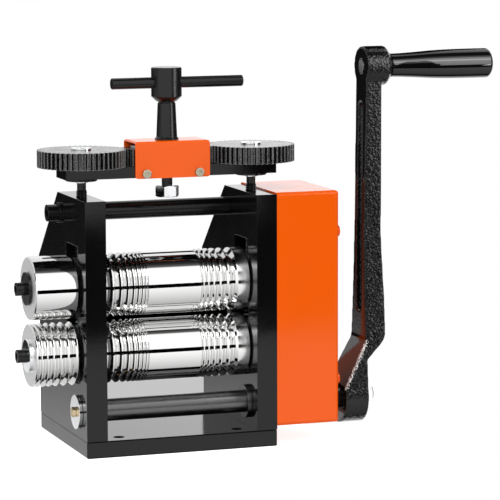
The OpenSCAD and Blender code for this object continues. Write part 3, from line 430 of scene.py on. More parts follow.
def make_black_casting(sizes):
    """Thick black paint on a lumpy casting, chipped along one edge, the chips painted near-white as a
    highlight.
    """
    finish = Finish("black_casting", sizes.black, roughness=0.05, Specular_IOR_Level=0.34)
    finish.uneven(0.05, 0.03, 90.0)
    skin = finish.group("cast_skin", Scale=520.0).outputs[0]
    chips_and_highlight = finish.group("worn_line").outputs[0]
    # Painted highlight: the chipped line along the dog-leg's front edge turns near-white.
    finish.set("Base Color", finish.blend(sizes.black, (0.85, 0.83, 0.8), chips_and_highlight))
    finish.relief([(skin, 0.36 * MM)])
    return finish


def make_block_steel(sizes):
    return steel("block_steel", (0.2, 0.2, 0.21), 0.35, sizes.edge, ALONG_Z)


def make_turned_steel(sizes):
    return steel("turned_steel", (0.45, 0.45, 0.46), 0.3, sizes.edge, ALONG_X)


def make_spring_steel(sizes):
    return steel("spring_steel", (0.4, 0.41, 0.42), 0.3, 0.1 * MM, ALL_WAYS)


def make_polished_roll(sizes):
    """Polished steel, duller on its end faces and on the collar at the geared end."""
    finish = Finish("polished_roll", POLISHED, metallic=1.0)
    facing = finish.group("end_faces").outputs[0]
    build = finish.build
    gloss = finish.group("uneven", Base=sizes.roll_gloss, Amount=0.012, Scale=120.0).outputs[0]
    worn_end = build.math("MULTIPLY", finish.group("right_end").outputs[0], 0.22)
    finish.set("Roughness", build.math("ADD", build.math("ADD", gloss, worn_end),
                                       build.math("MULTIPLY", facing, 0.4)))
    finish.set("Base Color", finish.blend(POLISHED, (0.93, 0.93, 0.93), facing))
    lines = finish.group("tool_lines", Stretch=ALONG_X, Scale=LINE_SCALE)
    finish.relief([(lines.outputs[0], LINE_DEPTH / 8)])
    return finish


def make_zinc(sizes):
    return steel("zinc", (0.8, 0.81, 0.82), 0.14, sizes.edge, ALL_WAYS)


def make_yellow_zinc(sizes):
    return steel("yellow_zinc", (0.6, 0.47, 0.29), 0.25, sizes.edge, ALL_WAYS)


def make_bronze(sizes):
    return steel("bronze", (0.55, 0.38, 0.18), 0.3, sizes.edge, ALONG_X)


def make_grip_plastic(sizes):
    return paint("grip_plastic", (0.004, 0.004, 0.0045), 0.05, sizes.edge, peel=0.001 * MM)


# Nodes whose finish in the photograph differs from their slot's
SPECIAL = {"bracket_screws": "screw_zinc", "drive_shaft": "black_shaft", "shaft_collar": "black_shaft",
           "shaft_sleeve": "black_steel", "cover_screws": "orange_paint"}
FINISHES = (make_black_paint, make_orange_paint, make_black_steel, make_black_shaft, make_black_gear,
            make_black_casting, make_block_steel, make_turned_steel, make_spring_steel,
            make_polished_roll, make_zinc, make_screw_zinc, make_yellow_zinc, make_bronze,
            make_grip_plastic)
SHADER_GROUPS = (make_uneven_group, make_skin_group, make_cut_group, make_cast_group,
                 make_end_face_group, make_right_end_group, make_chip_and_highlight_group, make_edge_group)


class MILL_OT_finishes(bpy.types.Operator):
    """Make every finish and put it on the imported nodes"""
    bl_idname = "mill.finishes"
    bl_label = "Finishes"

    def execute(self, context):
        for make_group in SHADER_GROUPS:
            make_group()
        for make_finish in FINISHES:
            make_finish(context.scene.mill_finish)
        for node, piece in frame["nodes"].items():
            piece.data.materials.clear()
            piece.data.materials.append(bpy.data.materials[SPECIAL.get(node, SLOT_OF[node]) + FINISHED])
        return {"FINISHED"}


# Turned pieces

def form_tree(name, inputs):
    """A geometry node tree with named inputs; returns its builder and its two ends."""
    tree = bpy.data.node_groups.new(name, "GeometryNodeTree")
    tree.interface.new_socket("Shape", in_out="INPUT", socket_type="NodeSocketGeometry")
    for socket_name, kind in inputs:
        tree.interface.new_socket(socket_name, in_out="INPUT", socket_type=kind)
    tree.interface.new_socket("Shape", in_out="OUTPUT", socket_type="NodeSocketGeometry")
    build = NodeBuilder(tree)
    return build, build.add("NodeGroupInput"), build.add("NodeGroupOutput")


def finish_tree(build, shape, ends, out):
    """Shades the shape smooth up to the sharp angle, and gives it its finish."""
    smooth = build.add("GeometryNodeSetShadeSmooth", domain="FACE")
    build.link(shape, smooth.inputs[0])
    sharp = build.add("GeometryNodeSetShadeSmooth", domain="EDGE")
    build.link(smooth.outputs[0], sharp.inputs[0])
    angle = build.add("GeometryNodeInputMeshEdgeAngle").outputs["Unsigned Angle"]
    build.link(build.math("GREATER_THAN", angle, ends.outputs["Sharp angle"]), sharp.inputs["Selection"])
    sharp.inputs["Shade Smooth"].default_value = False
    real = build.add("GeometryNodeRealizeInstances")
    build.link(sharp.outputs[0], real.inputs[0])
    finish = build.add("GeometryNodeSetMaterial")
    build.link(real.outputs[0], finish.inputs["Geometry"])
    build.link(ends.outputs["Finish"], finish.inputs["Material"])
    build.link(finish.outputs[0], out.inputs[0])


def make_lathe_tree():
    """Turns a profile about X: a point holds its place, its thread depth and its radius.
    A hexagon that measures Across flats cuts what stands out of it."""
    build, ends, out = form_tree("lathe", (
        ("Segments", "NodeSocketInt"), ("Across flats", FLOAT), ("Pitch", FLOAT),
        ("Sharp angle", FLOAT), ("Finish", "NodeSocketMaterial")))
    profile = ends.outputs["Shape"]
    size = build.add("GeometryNodeAttributeDomainSize", component="MESH")
    build.link(profile, size.inputs[0])
    count = size.outputs["Point Count"]
    last = build.math("SUBTRACT", count, 1.0)
    grid = build.add("GeometryNodeMeshGrid")
    build.link(last, grid.inputs["Size X"])
    grid.inputs["Size Y"].default_value = math.tau
    build.link(count, grid.inputs["Vertices X"])
    build.link(build.math("ADD", ends.outputs["Segments"], 1.0), grid.inputs["Vertices Y"])
    place = build.add("GeometryNodeInputPosition").outputs[0]
    cell = build.add("ShaderNodeSeparateXYZ")
    build.link(place, cell.inputs[0])
    row = build.math("ROUND", build.math("ADD", cell.outputs["X"], build.math("MULTIPLY", last, 0.5)))
    turn = build.math("ADD", cell.outputs["Y"], math.pi)
    sample = build.add("GeometryNodeSampleIndex", data_type="FLOAT_VECTOR", domain="POINT")
    build.link(profile, sample.inputs["Geometry"])
    build.link(place, sample.inputs["Value"])
    build.link(row, sample.inputs["Index"])
    point = build.add("ShaderNodeSeparateXYZ")
    build.link(sample.outputs[0], point.inputs[0])
    from_flat = build.math("SUBTRACT", build.math("FLOORED_MODULO", turn, math.tau / 6), math.tau / 12)
    flat = build.math("DIVIDE", build.math("MULTIPLY", ends.outputs["Across flats"], 0.5),
                      build.math("COSINE", from_flat))
    phase = build.math("FRACT", build.math("SUBTRACT", build.math(
        "DIVIDE", point.outputs["X"], ends.outputs["Pitch"]), build.math("DIVIDE", turn, math.tau)))
    valley = build.math("ABSOLUTE", build.math("SUBTRACT", build.math("MULTIPLY", phase, 2.0), 1.0))
    radius = build.math("SUBTRACT", build.math("MINIMUM", point.outputs["Z"], flat),
                        build.math("MULTIPLY", point.outputs["Y"], valley))
    turned = build.add("ShaderNodeCombineXYZ")
    build.link(point.outputs["X"], turned.inputs["X"])
    build.link(build.math("MULTIPLY", radius, build.math("COSINE", turn)), turned.inputs["Y"])
    build.link(build.math("MULTIPLY", radius, build.math("SINE", turn)), turned.inputs["Z"])
    bent = build.add("GeometryNodeSetPosition")
    build.link(grid.outputs["Mesh"], bent.inputs["Geometry"])
    build.link(turned.outputs[0], bent.inputs["Position"])
    merged = build.add("GeometryNodeMergeByDistance")
    build.link(bent.outputs[0], merged.inputs["Geometry"])
    merged.inputs["Distance"].default_value = 0.001 * MM
    finish_tree(build, merged.outputs[0], ends, out)
    return build.tree


def grow(shape, tree, values, voxel=None):
    """The mesh that a geometry node tree makes of a shape."""
    holder = bpy.data.objects.new("form", shape)
    bpy.context.scene.collection.objects.link(holder)
    if voxel:
        remesh = holder.modifiers.new("remesh", "REMESH")
        remesh.mode = "VOXEL"
        remesh.voxel_size = voxel
    form = holder.modifiers.new("form", "NODES")
    form.node_group = tree
    for socket in tree.interface.items_tree:
        if socket.in_out == "INPUT" and socket.name in values:
            form[socket.identifier] = values[socket.name]
    grown = bpy.data.meshes.new_from_object(
        holder.evaluated_get(bpy.context.evaluated_depsgraph_get()))
    bpy.data.objects.remove(holder)
    return grown


def outwards(mesh):
    """Turns the faces so that the closed mesh looks outwards."""
    work = bmesh.new()
    work.from_mesh(mesh)
    if work.calc_volume(signed=True) < 0:
        bmesh.ops.reverse_faces(work, faces=work.faces)
    work.to_mesh(mesh)
    work.free()


def seat(name, mesh, node):
    """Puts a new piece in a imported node's place, on its body and with its finish."""
    outwards(mesh)
    piece = bpy.data.objects.new(name, mesh)
    bpy.context.scene.collection.objects.link(piece)
    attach(piece, BODY_OF[node])
    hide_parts(node)


def broken(points, width):
    """Each corner of a profile becomes a tiny bevel."""
    line = [Vector((along, radius)) for along, radius in points]
    out = [line[0]]
    for before, corner, after in zip(line, line[1:], line[2:]):
        back, on = before - corner, after - corner
        if min(back.length, on.length) > 3 * width and corner.y > 0:
            out += [corner + back.normalized() * width, corner + on.normalized() * width]
        else:
            out.append(corner)
    return [tuple(point) for point in (*out, line[-1])]


# Turns the lathe's axis from X to Z
UPRIGHT = Matrix(((0, 1, 0), (0, 0, 1), (1, 0, 0))).to_4x4()
NO_FLATS = 1000.0
SHARP_CORNER = math.radians(18)


def turn(node, points, upright=False, flats=NO_FLATS, roll=0.0, segments=None, edge=None):
    """A turned piece for a node, from (place, radius) or (place, thread depth, radius) points in
    millimetres, about the middle of the node's box."""
    sizes = bpy.context.scene.mill_turning
    low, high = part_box(node)
    middle = (low + high) / 2
    if len(points[0]) == 2:
        points = broken([(along * MM, radius * MM) for along, radius in points],
                        sizes.broken_edge if edge is None else edge * MM)
        points = [(along, 0.0, radius) for along, radius in points]
    else:
        points = [tuple(MM * value for value in point) for point in points]
    profile = bpy.data.meshes.new("profile")
    profile.from_pydata(points, [(i, i + 1) for i in range(len(points) - 1)], [])
    mesh = grow(profile, bpy.data.node_groups["lathe"], {
        "Segments": segments or sizes.segments,
        "Across flats": flats * MM, "Pitch": sizes.pitch,
        "Sharp angle": SHARP_CORNER, "Finish": finish_of(node)})
    if upright:
        place = Matrix.Translation((middle.x, middle.y, 0)) @ UPRIGHT
    else:
        place = Matrix.Translation((0, middle.y, middle.z)) @ Matrix.Rotation(roll, 4, "X")
    mesh.transform(place)
    seat("turned_" + node, mesh, node)


# The rolls, in millimetres: radii, the shoulders' distances from the middle, the gears' seat, the
# collar beside the fine grooves, the hollow in the left end, and the grooves' land and the bevel
ROLL_R, SEAT_R, JOURNAL_R = 22.5, 8.0, 10.0
BARREL, JOURNAL_END, SIDE_END = 55.0, 71.7, 102.7
GEAR_SEAT, GEAR_END = 70.7, 110.1
PLAIN_END = 9.0
SIDE_RECESS = 0.4
LAND = 0.8
BEVEL = 0.8


def narrowing(widest, ratio, count):
    """Groove widths, each a fixed share of the one before."""
    return [widest * ratio ** step for step in range(count)]


def grooves(start, widths):
    """V grooves side by side from start, with a land between them."""
    points = []
    for width in widths:
        cut = (width - LAND) / 2
        points += [(start + LAND / 2, ROLL_R), (start + width / 2 - LAND / 4, ROLL_R - cut + LAND / 4),
                   (start + width / 2 + LAND / 4, ROLL_R - cut + LAND / 4),
                   (start + width - LAND / 2, ROLL_R)]
        start += width
    return points


def working_roll(node):
    """A working roll: wire grooves at its outer end, a plain middle, finer grooves, a collar."""
    outer = narrowing(7.4, 0.83, 8)
    inner = narrowing(6.8, 0.85, 6)[::-1]
    turn(node, [
        (-SIDE_END + SIDE_RECESS, 0), (-SIDE_END + SIDE_RECESS, SEAT_R), (-JOURNAL_END, SEAT_R),
        (-JOURNAL_END, JOURNAL_R),
        (-BARREL, JOURNAL_R), (-BARREL, ROLL_R - BEVEL), (-BARREL + BEVEL, ROLL_R),
        *grooves(-BARREL + BEVEL, outer), *grooves(BARREL - PLAIN_END - sum(inner), inner),
        (BARREL - BEVEL, ROLL_R), (BARREL, ROLL_R - BEVEL), (BARREL, JOURNAL_R), (GEAR_SEAT, JOURNAL_R),
        (GEAR_SEAT, SEAT_R), (GEAR_END, SEAT_R), (GEAR_END, 0)])


def side_roller(node, middle):
    """A roller outside the left plate, with the given points between its bevels."""
    turn(node, [
        (-SIDE_END, SEAT_R), (-SIDE_END, ROLL_R - BEVEL), (-SIDE_END + BEVEL, ROLL_R), *middle,
        (-JOURNAL_END - BEVEL, ROLL_R), (-JOURNAL_END, ROLL_R - BEVEL), (-JOURNAL_END, SEAT_R),
        (-SIDE_END, SEAT_R)])


class MILL_OT_rolls(bpy.types.Operator):
    """Turn both working rolls and both side rollers, with crisp grooves and bevels"""
    bl_idname = "mill.rolls"
    bl_label = "Rolls"

    def execute(self, context):
        make_lathe_tree()
        working_roll("lower_roll")
        working_roll("upper_roll")
        widths = narrowing(6.7, 0.9, 6)[::-1]
        fill = (SIDE_END - JOURNAL_END - 2 * BEVEL) / sum(widths)
        side_roller("lower_side_roller", grooves(-SIDE_END + BEVEL, [fill * width for width in widths]))
        side_roller("upper_side_roller", [])
        turn("lower_side_washer", [(-104.9, 3.1), (-104.9, 11.2), (-104.5, 11.8), (-102.7, 11.8),
                                   (-102.7, 3.1), (-104.9, 3.1)], edge=0.05)
        return {"FINISHED"}


# The handle's stem from its foot to the top of its hub: height and radius, in millimetres
STEM = (
    (178.6, 0), (178.6, 3.3), (179.1, 3.8), (193, 3.8), (193, 5), (219.6, 5), (219.6, 8.5),
    (220.3, 8.5), (221.4, 7.4), (245.3, 6.35), (245.6, 5.9), (246.3, 5.9), (246.6, 7.4),
    (249.4, 10.3), (250.0, 10.8), (270.1, 10.8), (270.6, 10.3), (270.6, 0))
# The tommy bar's profile, in millimetres
BAR = ((-40.5, 0), (-40.5, 3.6), (-40.1, 4.0), (56.1, 4.0), (56.5, 3.6), (56.5, 0))
# The grip's swell, as shares of its length and of its greatest radius
GRIP_SHARES = ((0, 0.785), (0.1, 0.8), (0.25, 0.86), (0.42, 0.94), (0.6, 0.985), (0.8, 1.0), (0.93, 1.0))
GRIP_BORE, GRIP_POCKET, POCKET_DEPTH, GRIP_END_R, GRIP_BEVEL = 4.56, 7.5, 5.0, 3.0, 0.4


def smooth_line(points, steps):
    """Points on a smooth curve through the given ones."""
    line = [Vector(point) for point in points]
    ends = [line[0], *line, line[-1]]
    out = []
    for before, start, end, after in zip(ends, ends[1:], ends[2:], ends[3:]):
        for step in range(steps):
            t = step / steps
            out.append(0.5 * ((2 * start) + (end - before) * t
                              + (2 * before - 5 * start + 4 * end - after) * t ** 2
                              + (3 * start - before - 3 * end + after) * t ** 3))
    return [tuple(point) for point in (*out, line[-1])]


def grip_profile(start, length, radius):
    """The grip: a small bevel, its swell, a rounded end and the bore with the spindle head's pocket."""
    swell = [(along * length, share * radius) for along, share in smooth_line(GRIP_SHARES, 5)]
    swell[0] = (GRIP_BEVEL, swell[0][1])
    turned_end = [(length + GRIP_END_R * (math.sin(angle) - 1), radius + GRIP_END_R * (math.cos(angle) - 1))
                  for angle in (math.radians(step) for step in range(0, 91, 10))]
    bore = [(length, GRIP_POCKET), (length - POCKET_DEPTH, GRIP_POCKET),
            (length - POCKET_DEPTH, GRIP_BORE), (0, GRIP_BORE)]
    rim = [(0, GRIP_BORE), (0, GRIP_SHARES[0][1] * radius - GRIP_BEVEL)]
    return [(start + along, r) for along, r in (*rim, *swell, *turned_end, *bore)]


class MILL_OT_handle(bpy.types.Operator):
    """Turn the T-handle's stem with its hub, the tommy bar and the crank's grip"""
    bl_idname = "mill.handle"
    bl_label = "Handles"

    def execute(self, context):
        turn("handle_stem", STEM, upright=True, segments=96, edge=0.12)
        turn("tommy_bar", BAR, segments=64, edge=0.08)
        low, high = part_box("crank_grip")
        turn("crank_grip", grip_profile(low.x / MM, (high.x - low.x) / MM, (high.z - low.z) / 2 / MM),
             segments=96, edge=0.02)
        return {"FINISHED"}


# How far in a hexagon's end face starts, how steeply its corners are turned off, and in how many steps
RIM_SHARE, BEVEL_SLOPE, BEVEL_STEPS = 0.95, 0.55, 8
# The pressure screws: the ends of the thread, and the plain neck and head above it, in millimetres
THREAD_FOOT, THREAD_TOP, THREAD_R, STEPS_A_TURN = 133.75, 185.0, 4.0, 8
SCREW_TIP = ((132.75, 0), (132.75, 3.2))
SCREW_HEAD = ((186, 3.2), (192.2, 3.2), (192.2, 10.9), (192.4, 11.1), (193.6, 11.1), (193.8, 10.9),
              (193.8, 4.5), (214.2, 4.5), (214.2, 3.5), (214.8, 3.5), (214.8, 0))


def hexagon(node, flats, low, high, bore, **place):
    """A hexagon nut or head, its corners turned off at both ends."""
    corner, rim = flats / 2 / math.cos(math.pi / 6), flats / 2 * RIM_SHARE
    drop = (corner - rim) * BEVEL_SLOPE
    shares = [step / BEVEL_STEPS for step in range(BEVEL_STEPS + 1)]
    bevel = [(drop * share, rim + (corner - rim) * share) for share in shares]
    points = [(low, bore), *((low + along, r) for along, r in bevel),
              *((high - along, r) for along, r in bevel[::-1]), (high, bore)]
    if bore:
        points.append((low, bore))
    turn(node, points, flats=flats, segments=120, edge=0, **place)


class MILL_OT_fasteners(bpy.types.Operator):
    """Make the nuts and the bolt with turned-off corners, and cut the pressure screws' threads"""
    bl_idname = "mill.fasteners"
    bl_label = "Nuts and screws"

    def execute(self, context):
        hexagon("handle_nut", 15.0, 178.6, 187.0, 3.85, upright=True)
        hexagon("crank_nut", 16.0, 143.5, 149.5, 5.05, roll=math.pi / 2)
        hexagon("shaft_end_bolt", 6.4, -75.7, -73.1, 0, roll=math.pi / 2)
        sizes, length = context.scene.mill_turning, THREAD_TOP - THREAD_FOOT
        steps = int(length / (sizes.pitch / MM) * STEPS_A_TURN)
        thread = [(THREAD_FOOT + length * step / steps, sizes.thread / MM, THREAD_R)
                  for step in range(steps + 1)]
        tip, head = ([(z, 0, r) for z, r in plain] for plain in (SCREW_TIP, SCREW_HEAD))
        for node in ("left_screw", "right_screw"):
            turn(node, [*tip, *thread, *head], upright=True, segments=40)
        return {"FINISHED"}


# The cast crank

def make_cast_tree():
    """Rounds a remeshed casting and presses lumps into the faces that look along Y."""
    build, ends, out = form_tree("casting", (
        ("Depth", FLOAT), ("Sharp angle", FLOAT), ("Finish", "NodeSocketMaterial")))
    blur = build.add("GeometryNodeBlurAttribute", data_type="FLOAT_VECTOR")
    place = build.add("GeometryNodeInputPosition").outputs[0]
    build.link(place, blur.inputs["Value"])
    blur.inputs["Iterations"].default_value = 2
    rounded = build.add("GeometryNodeSetPosition")
    build.link(ends.outputs["Shape"], rounded.inputs["Geometry"])
    build.link(blur.outputs[0], rounded.inputs["Position"])
    normal = build.add("GeometryNodeInputNormal").outputs[0]
    facing = build.add("ShaderNodeSeparateXYZ")
    build.link(normal, facing.inputs[0])
    rough = build.spread(build.math("ABSOLUTE", facing.outputs["Y"]), 0.25, 0.8, 0.15, 1.0)
    noise = build.add("ShaderNodeTexNoise")
    build.link(place, noise.inputs["Vector"])
    noise.inputs["Scale"].default_value = 560.0
    noise.inputs["Detail"].default_value = 2.0
    pressed = build.math("MULTIPLY", build.math("MULTIPLY", noise.outputs["Fac"], ends.outputs["Depth"]),
                         build.math("MULTIPLY", rough, -1.0))
    move = build.add("ShaderNodeVectorMath", operation="SCALE")
    build.link(normal, move.inputs[0])
    build.link(pressed, move.inputs["Scale"])
    lumpy = build.add("GeometryNodeSetPosition")
    build.link(rounded.outputs[0], lumpy.inputs["Geometry"])
    build.link(move.outputs[0], lumpy.inputs["Offset"])
    finish_tree(build, lumpy.outputs[0], ends, out)
    return build.tree


def merged_copy(node):
    """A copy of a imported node's mesh with its loose triangles joined."""
    mesh = bpy.data.meshes.new(node + "_form")
    work = bmesh.new()
    work.from_mesh(frame["nodes"][node].data)
    bmesh.ops.remove_doubles(work, verts=work.verts, dist=0.002 * MM)
    work.to_mesh(mesh)
    work.free()
    return mesh


class MILL_OT_casting(bpy.types.Operator):
    """Give the crank arm the rounded edges and lumpy skin of a casting"""
    bl_idname = "mill.casting"
    bl_label = "Cast crank"

    def execute(self, context):
        sizes = context.scene.mill_turning
        mesh = grow(merged_copy("crank_arm"), make_cast_tree(), {
            "Depth": sizes.lumps, "Sharp angle": math.radians(60),
            "Finish": finish_of("crank_arm")}, voxel=sizes.grain)
        seat("cast_crank_arm", mesh, "crank_arm")
        return {"FINISHED"}


class MILL_OT_springs(bpy.types.Operator):
    """Put a copy of the springs with their loose triangles joined in place of the imported ones"""
    bl_idname = "mill.springs"
    bl_label = "Springs"

    def execute(self, context):
        node = "block_springs"
        piece = bpy.data.objects.new("stretched_springs", merged_copy(node))
        bpy.context.scene.collection.objects.link(piece)
        piece.data.materials.append(finish_of(node))
        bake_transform(piece)
        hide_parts(node)
        return {"FINISHED"}


# Stage

SENSOR = 36.0
EVEN_LIGHT = 0.72
FLOOR_GLOW = 0.85
BENCH_MARGIN = 50 * MM
LOOK_AT = (0, 0, 0.12)
# What shiny surfaces see round the rolls' direction: an angle in degrees, from the front at 0 over the
# top to the back at 180, and the studio's brightness there
BANDS = (
    (-180, 0.02), (-170.8, 0.02), (-169.4, 0.95), (-118, 0.84), (-114, 0.02), (-97, 0.02), (-95, 0.4),
    (-86, 0.4), (-84, 0.6), (-62, 0.82), (-12, 1.38), (2, 1.44), (60, 1.44),
    (64, 0.18), (74, 0.04), (84, 0.01), (96, 0.01), (99, 0.85), (178, 1.0),
    (179.5, 0.02), (180, 0.02),
)


def studio_world():
    """White to the camera, an even light on surfaces, and the studio's bands in what shines."""
    world = bpy.data.worlds.new("studio")
    world.use_nodes = True
    build = NodeBuilder(world.node_tree)
    world.node_tree.nodes.clear()
    axis = build.add("ShaderNodeSeparateXYZ")
    build.link(build.add("ShaderNodeTexCoord").outputs["Generated"], axis.inputs[0])
    across, back, up = axis.outputs
    angle = build.math("ARCTAN2", up, build.math("MULTIPLY", back, -1.0))
    ramp_node = build.add("ShaderNodeValToRGB")
    stops = ramp_node.color_ramp.elements
    for degrees, level in BANDS[1:-1]:
        stops.new((degrees + 180) / 360)
    for stop, (degrees, level) in zip(stops, BANDS):
        stop.position = (degrees + 180) / 360
        stop.color = (level, level, level, 1.0)
    build.link(build.spread(angle, -math.pi, math.pi), ramp_node.inputs[0])
    sides = build.spread(across, 0.72, 0.95, 1.0, 0.06)
    to_back = build.spread(back, 0.0, 0.3)
    brighter = build.spread(across, 0.2, 0.36, 0.0, 0.5)
    slope = build.math("ADD", 1.0, build.math("MULTIPLY", to_back, brighter))
    bands = build.math("MULTIPLY", ramp_node.outputs[0], build.math("MULTIPLY", sides, slope))
    shining = build.add("ShaderNodeBackground")
    build.link(bands, shining.inputs["Color"])
    even = build.add("ShaderNodeBackground")
    even.inputs["Color"].default_value = (1.0, 1.0, 1.0, 1.0)
    even.inputs["Strength"].default_value = EVEN_LIGHT
    seen = build.add("ShaderNodeBackground")
    seen.inputs["Color"].default_value = (1.0, 1.0, 1.0, 1.0)
    rays = build.add("ShaderNodeLightPath")
    mix_shine = build.add("ShaderNodeMixShader")
    build.link(rays.outputs["Is Glossy Ray"], mix_shine.inputs[0])
    build.link(even.outputs[0], mix_shine.inputs[1])
    build.link(shining.outputs[0], mix_shine.inputs[2])
    mix_seen = build.add("ShaderNodeMixShader")
    build.link(rays.outputs["Is Camera Ray"], mix_seen.inputs[0])
    build.link(mix_shine.outputs[0], mix_seen.inputs[1])
    build.link(seen.outputs[0], mix_seen.inputs[2])
    build.link(mix_seen.outputs[0], build.add("ShaderNodeOutputWorld").inputs[0])
    return world


# name, low corner, high corner in millimetres, brightness, what sees it
CARDS = (
    ("roll_card", (-350, -480, 11), (650, -480, 116), 0.0, "shine"),
    ("crank_card", (200, -480, 26), (900, -480, 300), 0.0, "shine"),
    ("tall_card", (200, -479, 26), (325, -479, 400), 0.0, "shine"),
    ("glint_card", (430, -478, 140), (640, -478, 320), 9.0, "shine"),
    ("grip_light", (327, -480, 320), (760, -480, 800), 4.9, "shine"),
    ("grip_gleam", (327, -479, 480), (760, -479, 590), 9.0, "shine"),
    ("grip_glow", (340, -477, 214), (900, -477, 320), 4.2, "shine"),
    ("grip_card", (255, 300, 300), (430, 300, 1400), 0.0, "shine"),
    ("roof_card", (-5, -9, 300), (140, 56, 300), 0.0, "shine"),
    ("roof_light", (-5, -36, 300), (140, -19, 300), 0.7, "shine"),
    # The black sheet in the nip between the rolls is painted shade, seen by the camera and in what shines.
    ("nip_card", (-54, 0, 84), (54, 0, 102), 0.0, "shine and camera"),
    ("rear_card", (-56, 60, 12), (56, 60, 52), 0.56, "camera"),
)


def stage_card(name, low, high, level, seen_by):
    """A card for shiny surfaces, the camera or both. It shows on one side: to the front where it
    stands behind the rolls' middle, otherwise to the back, and a level one downwards."""
    low, high = Vector(low) * MM, Vector(high) * MM
    points = [(low.x, high.y, high.z), tuple(high), (high.x, low.y, low.z), tuple(low)]
    mesh = bpy.data.meshes.new(name)
    mesh.from_pydata(points, [], [(3, 2, 1, 0) if low.y >= 0 else (0, 1, 2, 3)])
    card = bpy.data.objects.new(name, mesh)
    bpy.context.scene.collection.objects.link(card)
    card.visible_camera = "camera" in seen_by
    card.visible_glossy = "shine" in seen_by
    card.visible_diffuse = card.visible_shadow = False
    finish = Finish(name, (0, 0, 0), roughness=1.0, Specular_IOR_Level=0.0)
    finish.shader.inputs["Emission Color"].default_value = (1.0, 1.0, 1.0, 1.0)
    finish.shader.inputs["Emission Strength"].default_value = level
    behind = finish.build.add("ShaderNodeMixShader")
    finish.build.link(finish.build.add("ShaderNodeNewGeometry").outputs["Backfacing"], behind.inputs[0])
    finish.build.link(finish.shader.outputs[0], behind.inputs[1])
    finish.build.link(finish.build.add("ShaderNodeBsdfTransparent").outputs[0], behind.inputs[2])
    finish.build.link(behind.outputs[0], finish.build.tree.nodes["Material Output"].inputs["Surface"])
    mesh.materials.append(finish.material)


def area_lamp(name, place, target, size, watts):
    """A round soft lamp that looks at its target."""
    lamp = bpy.data.lights.new(name, "AREA")
    lamp.shape = "DISK"
    lamp.size = size
    lamp.energy = watts
    holder = bpy.data.objects.new(name, lamp)
    holder.location = place
    holder.rotation_euler = (Vector(target) - Vector(place)).to_track_quat("-Z", "Y").to_euler()
    bpy.context.scene.collection.objects.link(holder)


def studio_camera(stage):
    """A camera at the photograph's viewpoint."""
    right = Vector((math.cos(stage.yaw), -math.sin(stage.yaw), 0.0))
    flat = math.cos(stage.pitch)
    ahead = Vector((math.sin(stage.yaw) * flat, math.cos(stage.yaw) * flat, -math.sin(stage.pitch)))
    up = right.cross(ahead)
    turned_right = right * math.cos(stage.roll) + up * math.sin(stage.roll)
    turned_up = turned_right.cross(ahead)
    data = bpy.data.cameras.new("camera")
    data.lens = stage.lens
    data.sensor_width = SENSOR
    data.clip_end = 100.0
    camera = bpy.data.objects.new("camera", data)
    stance = Matrix((turned_right, turned_up, -ahead)).transposed()
    camera.matrix_world = Matrix.Translation(stage.camera_place) @ stance.to_4x4()
    bpy.context.scene.collection.objects.link(camera)
    bpy.context.scene.camera = camera


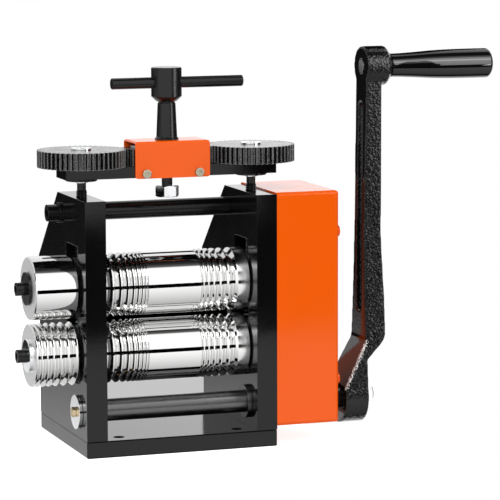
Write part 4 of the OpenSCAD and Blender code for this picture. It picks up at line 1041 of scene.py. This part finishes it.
def plain_floor(size):
    """A bench top that ends beside the gear cover, because the crank swings lower than the foot."""
    mesh = bpy.data.meshes.new("floor")
    half, side, front = size / 2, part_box("gear_cover")[1].x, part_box("base_plate")[0].y - BENCH_MARGIN
    mesh.from_pydata([(-half, front, 0), (side, front, 0), (side, half, 0), (-half, half, 0)],
                     [], [(0, 1, 2, 3)])
    floor = bpy.data.objects.new("floor", mesh)
    bpy.context.scene.collection.objects.link(floor)
    finish = Finish("floor_paper", (0.93, 0.93, 0.93), roughness=0.9, Specular_IOR_Level=0.0)
    build = finish.build
    rays = build.add("ShaderNodeLightPath")
    glow = build.add("ShaderNodeEmission")
    glow.inputs["Strength"].default_value = FLOOR_GLOW
    seen = build.add("ShaderNodeAddShader")
    build.link(finish.shader.outputs[0], seen.inputs[0])
    build.link(glow.outputs[0], seen.inputs[1])
    to_camera = build.add("ShaderNodeMixShader")
    build.link(rays.outputs["Is Camera Ray"], to_camera.inputs[0])
    build.link(finish.shader.outputs[0], to_camera.inputs[1])
    build.link(seen.outputs[0], to_camera.inputs[2])
    open_to_shine = build.add("ShaderNodeMixShader")
    build.link(rays.outputs["Is Glossy Ray"], open_to_shine.inputs[0])
    build.link(to_camera.outputs[0], open_to_shine.inputs[1])
    build.link(build.add("ShaderNodeBsdfTransparent").outputs[0], open_to_shine.inputs[2])
    build.link(open_to_shine.outputs[0], build.tree.nodes["Material Output"].inputs["Surface"])
    mesh.materials.append(finish.material)


class MILL_OT_stage(bpy.types.Operator):
    """Lay the floor, hang the lamps and stand the camera at the photograph's viewpoint"""
    bl_idname = "mill.stage"
    bl_label = "Stage"

    def execute(self, context):
        stage = context.scene.mill_stage
        plain_floor(stage.floor_size)
        for card in CARDS:
            stage_card(*card)
        context.scene.world = studio_world()
        context.scene.view_settings.view_transform = "Standard"
        area_lamp("key_lamp", (-1.6, -1.8, 2.2), LOOK_AT, 1.4, 26)
        area_lamp("fill_lamp", (2.2, -1.2, 1.6), LOOK_AT, 1.6, 12)
        studio_camera(stage)
        return {"FINISHED"}


class MILL_PT_panel(bpy.types.Panel):
    """Lists the mill's steps and sizes"""
    bl_idname = "MILL_PT_panel"
    bl_label = "Rolling Mill"
    bl_space_type = "VIEW_3D"
    bl_region_type = "UI"
    bl_category = "Rolling Mill"

    def draw(self, context):
        for step in STEPS:
            self.layout.operator(step.bl_idname)
        for key in GROUPS:
            group = getattr(context.scene, key)
            box = self.layout.box()
            for name in group.__annotations__:
                box.prop(group, name)


STEPS = (MILL_OT_finishes, MILL_OT_rolls, MILL_OT_handle, MILL_OT_fasteners, MILL_OT_casting,
         MILL_OT_springs, MILL_OT_stage)
GROUPS = {"mill_finish": MillFinish, "mill_turning": MillTurning, "mill_stage": MillStage}


def register():
    for kind in (*GROUPS.values(), *STEPS, MILL_PT_panel):
        bpy.utils.register_class(kind)
    for name, group in GROUPS.items():
        setattr(bpy.types.Scene, name, PointerProperty(type=group))


def unregister():
    for name in GROUPS:
        delattr(bpy.types.Scene, name)
    for kind in reversed((*GROUPS.values(), *STEPS, MILL_PT_panel)):
        bpy.utils.unregister_class(kind)


def main():
    """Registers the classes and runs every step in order."""
    register()
    for step in STEPS:
        group, name = step.bl_idname.split(".")
        getattr(getattr(bpy.ops, group), name)()


if __name__ == "__main__":
    main()
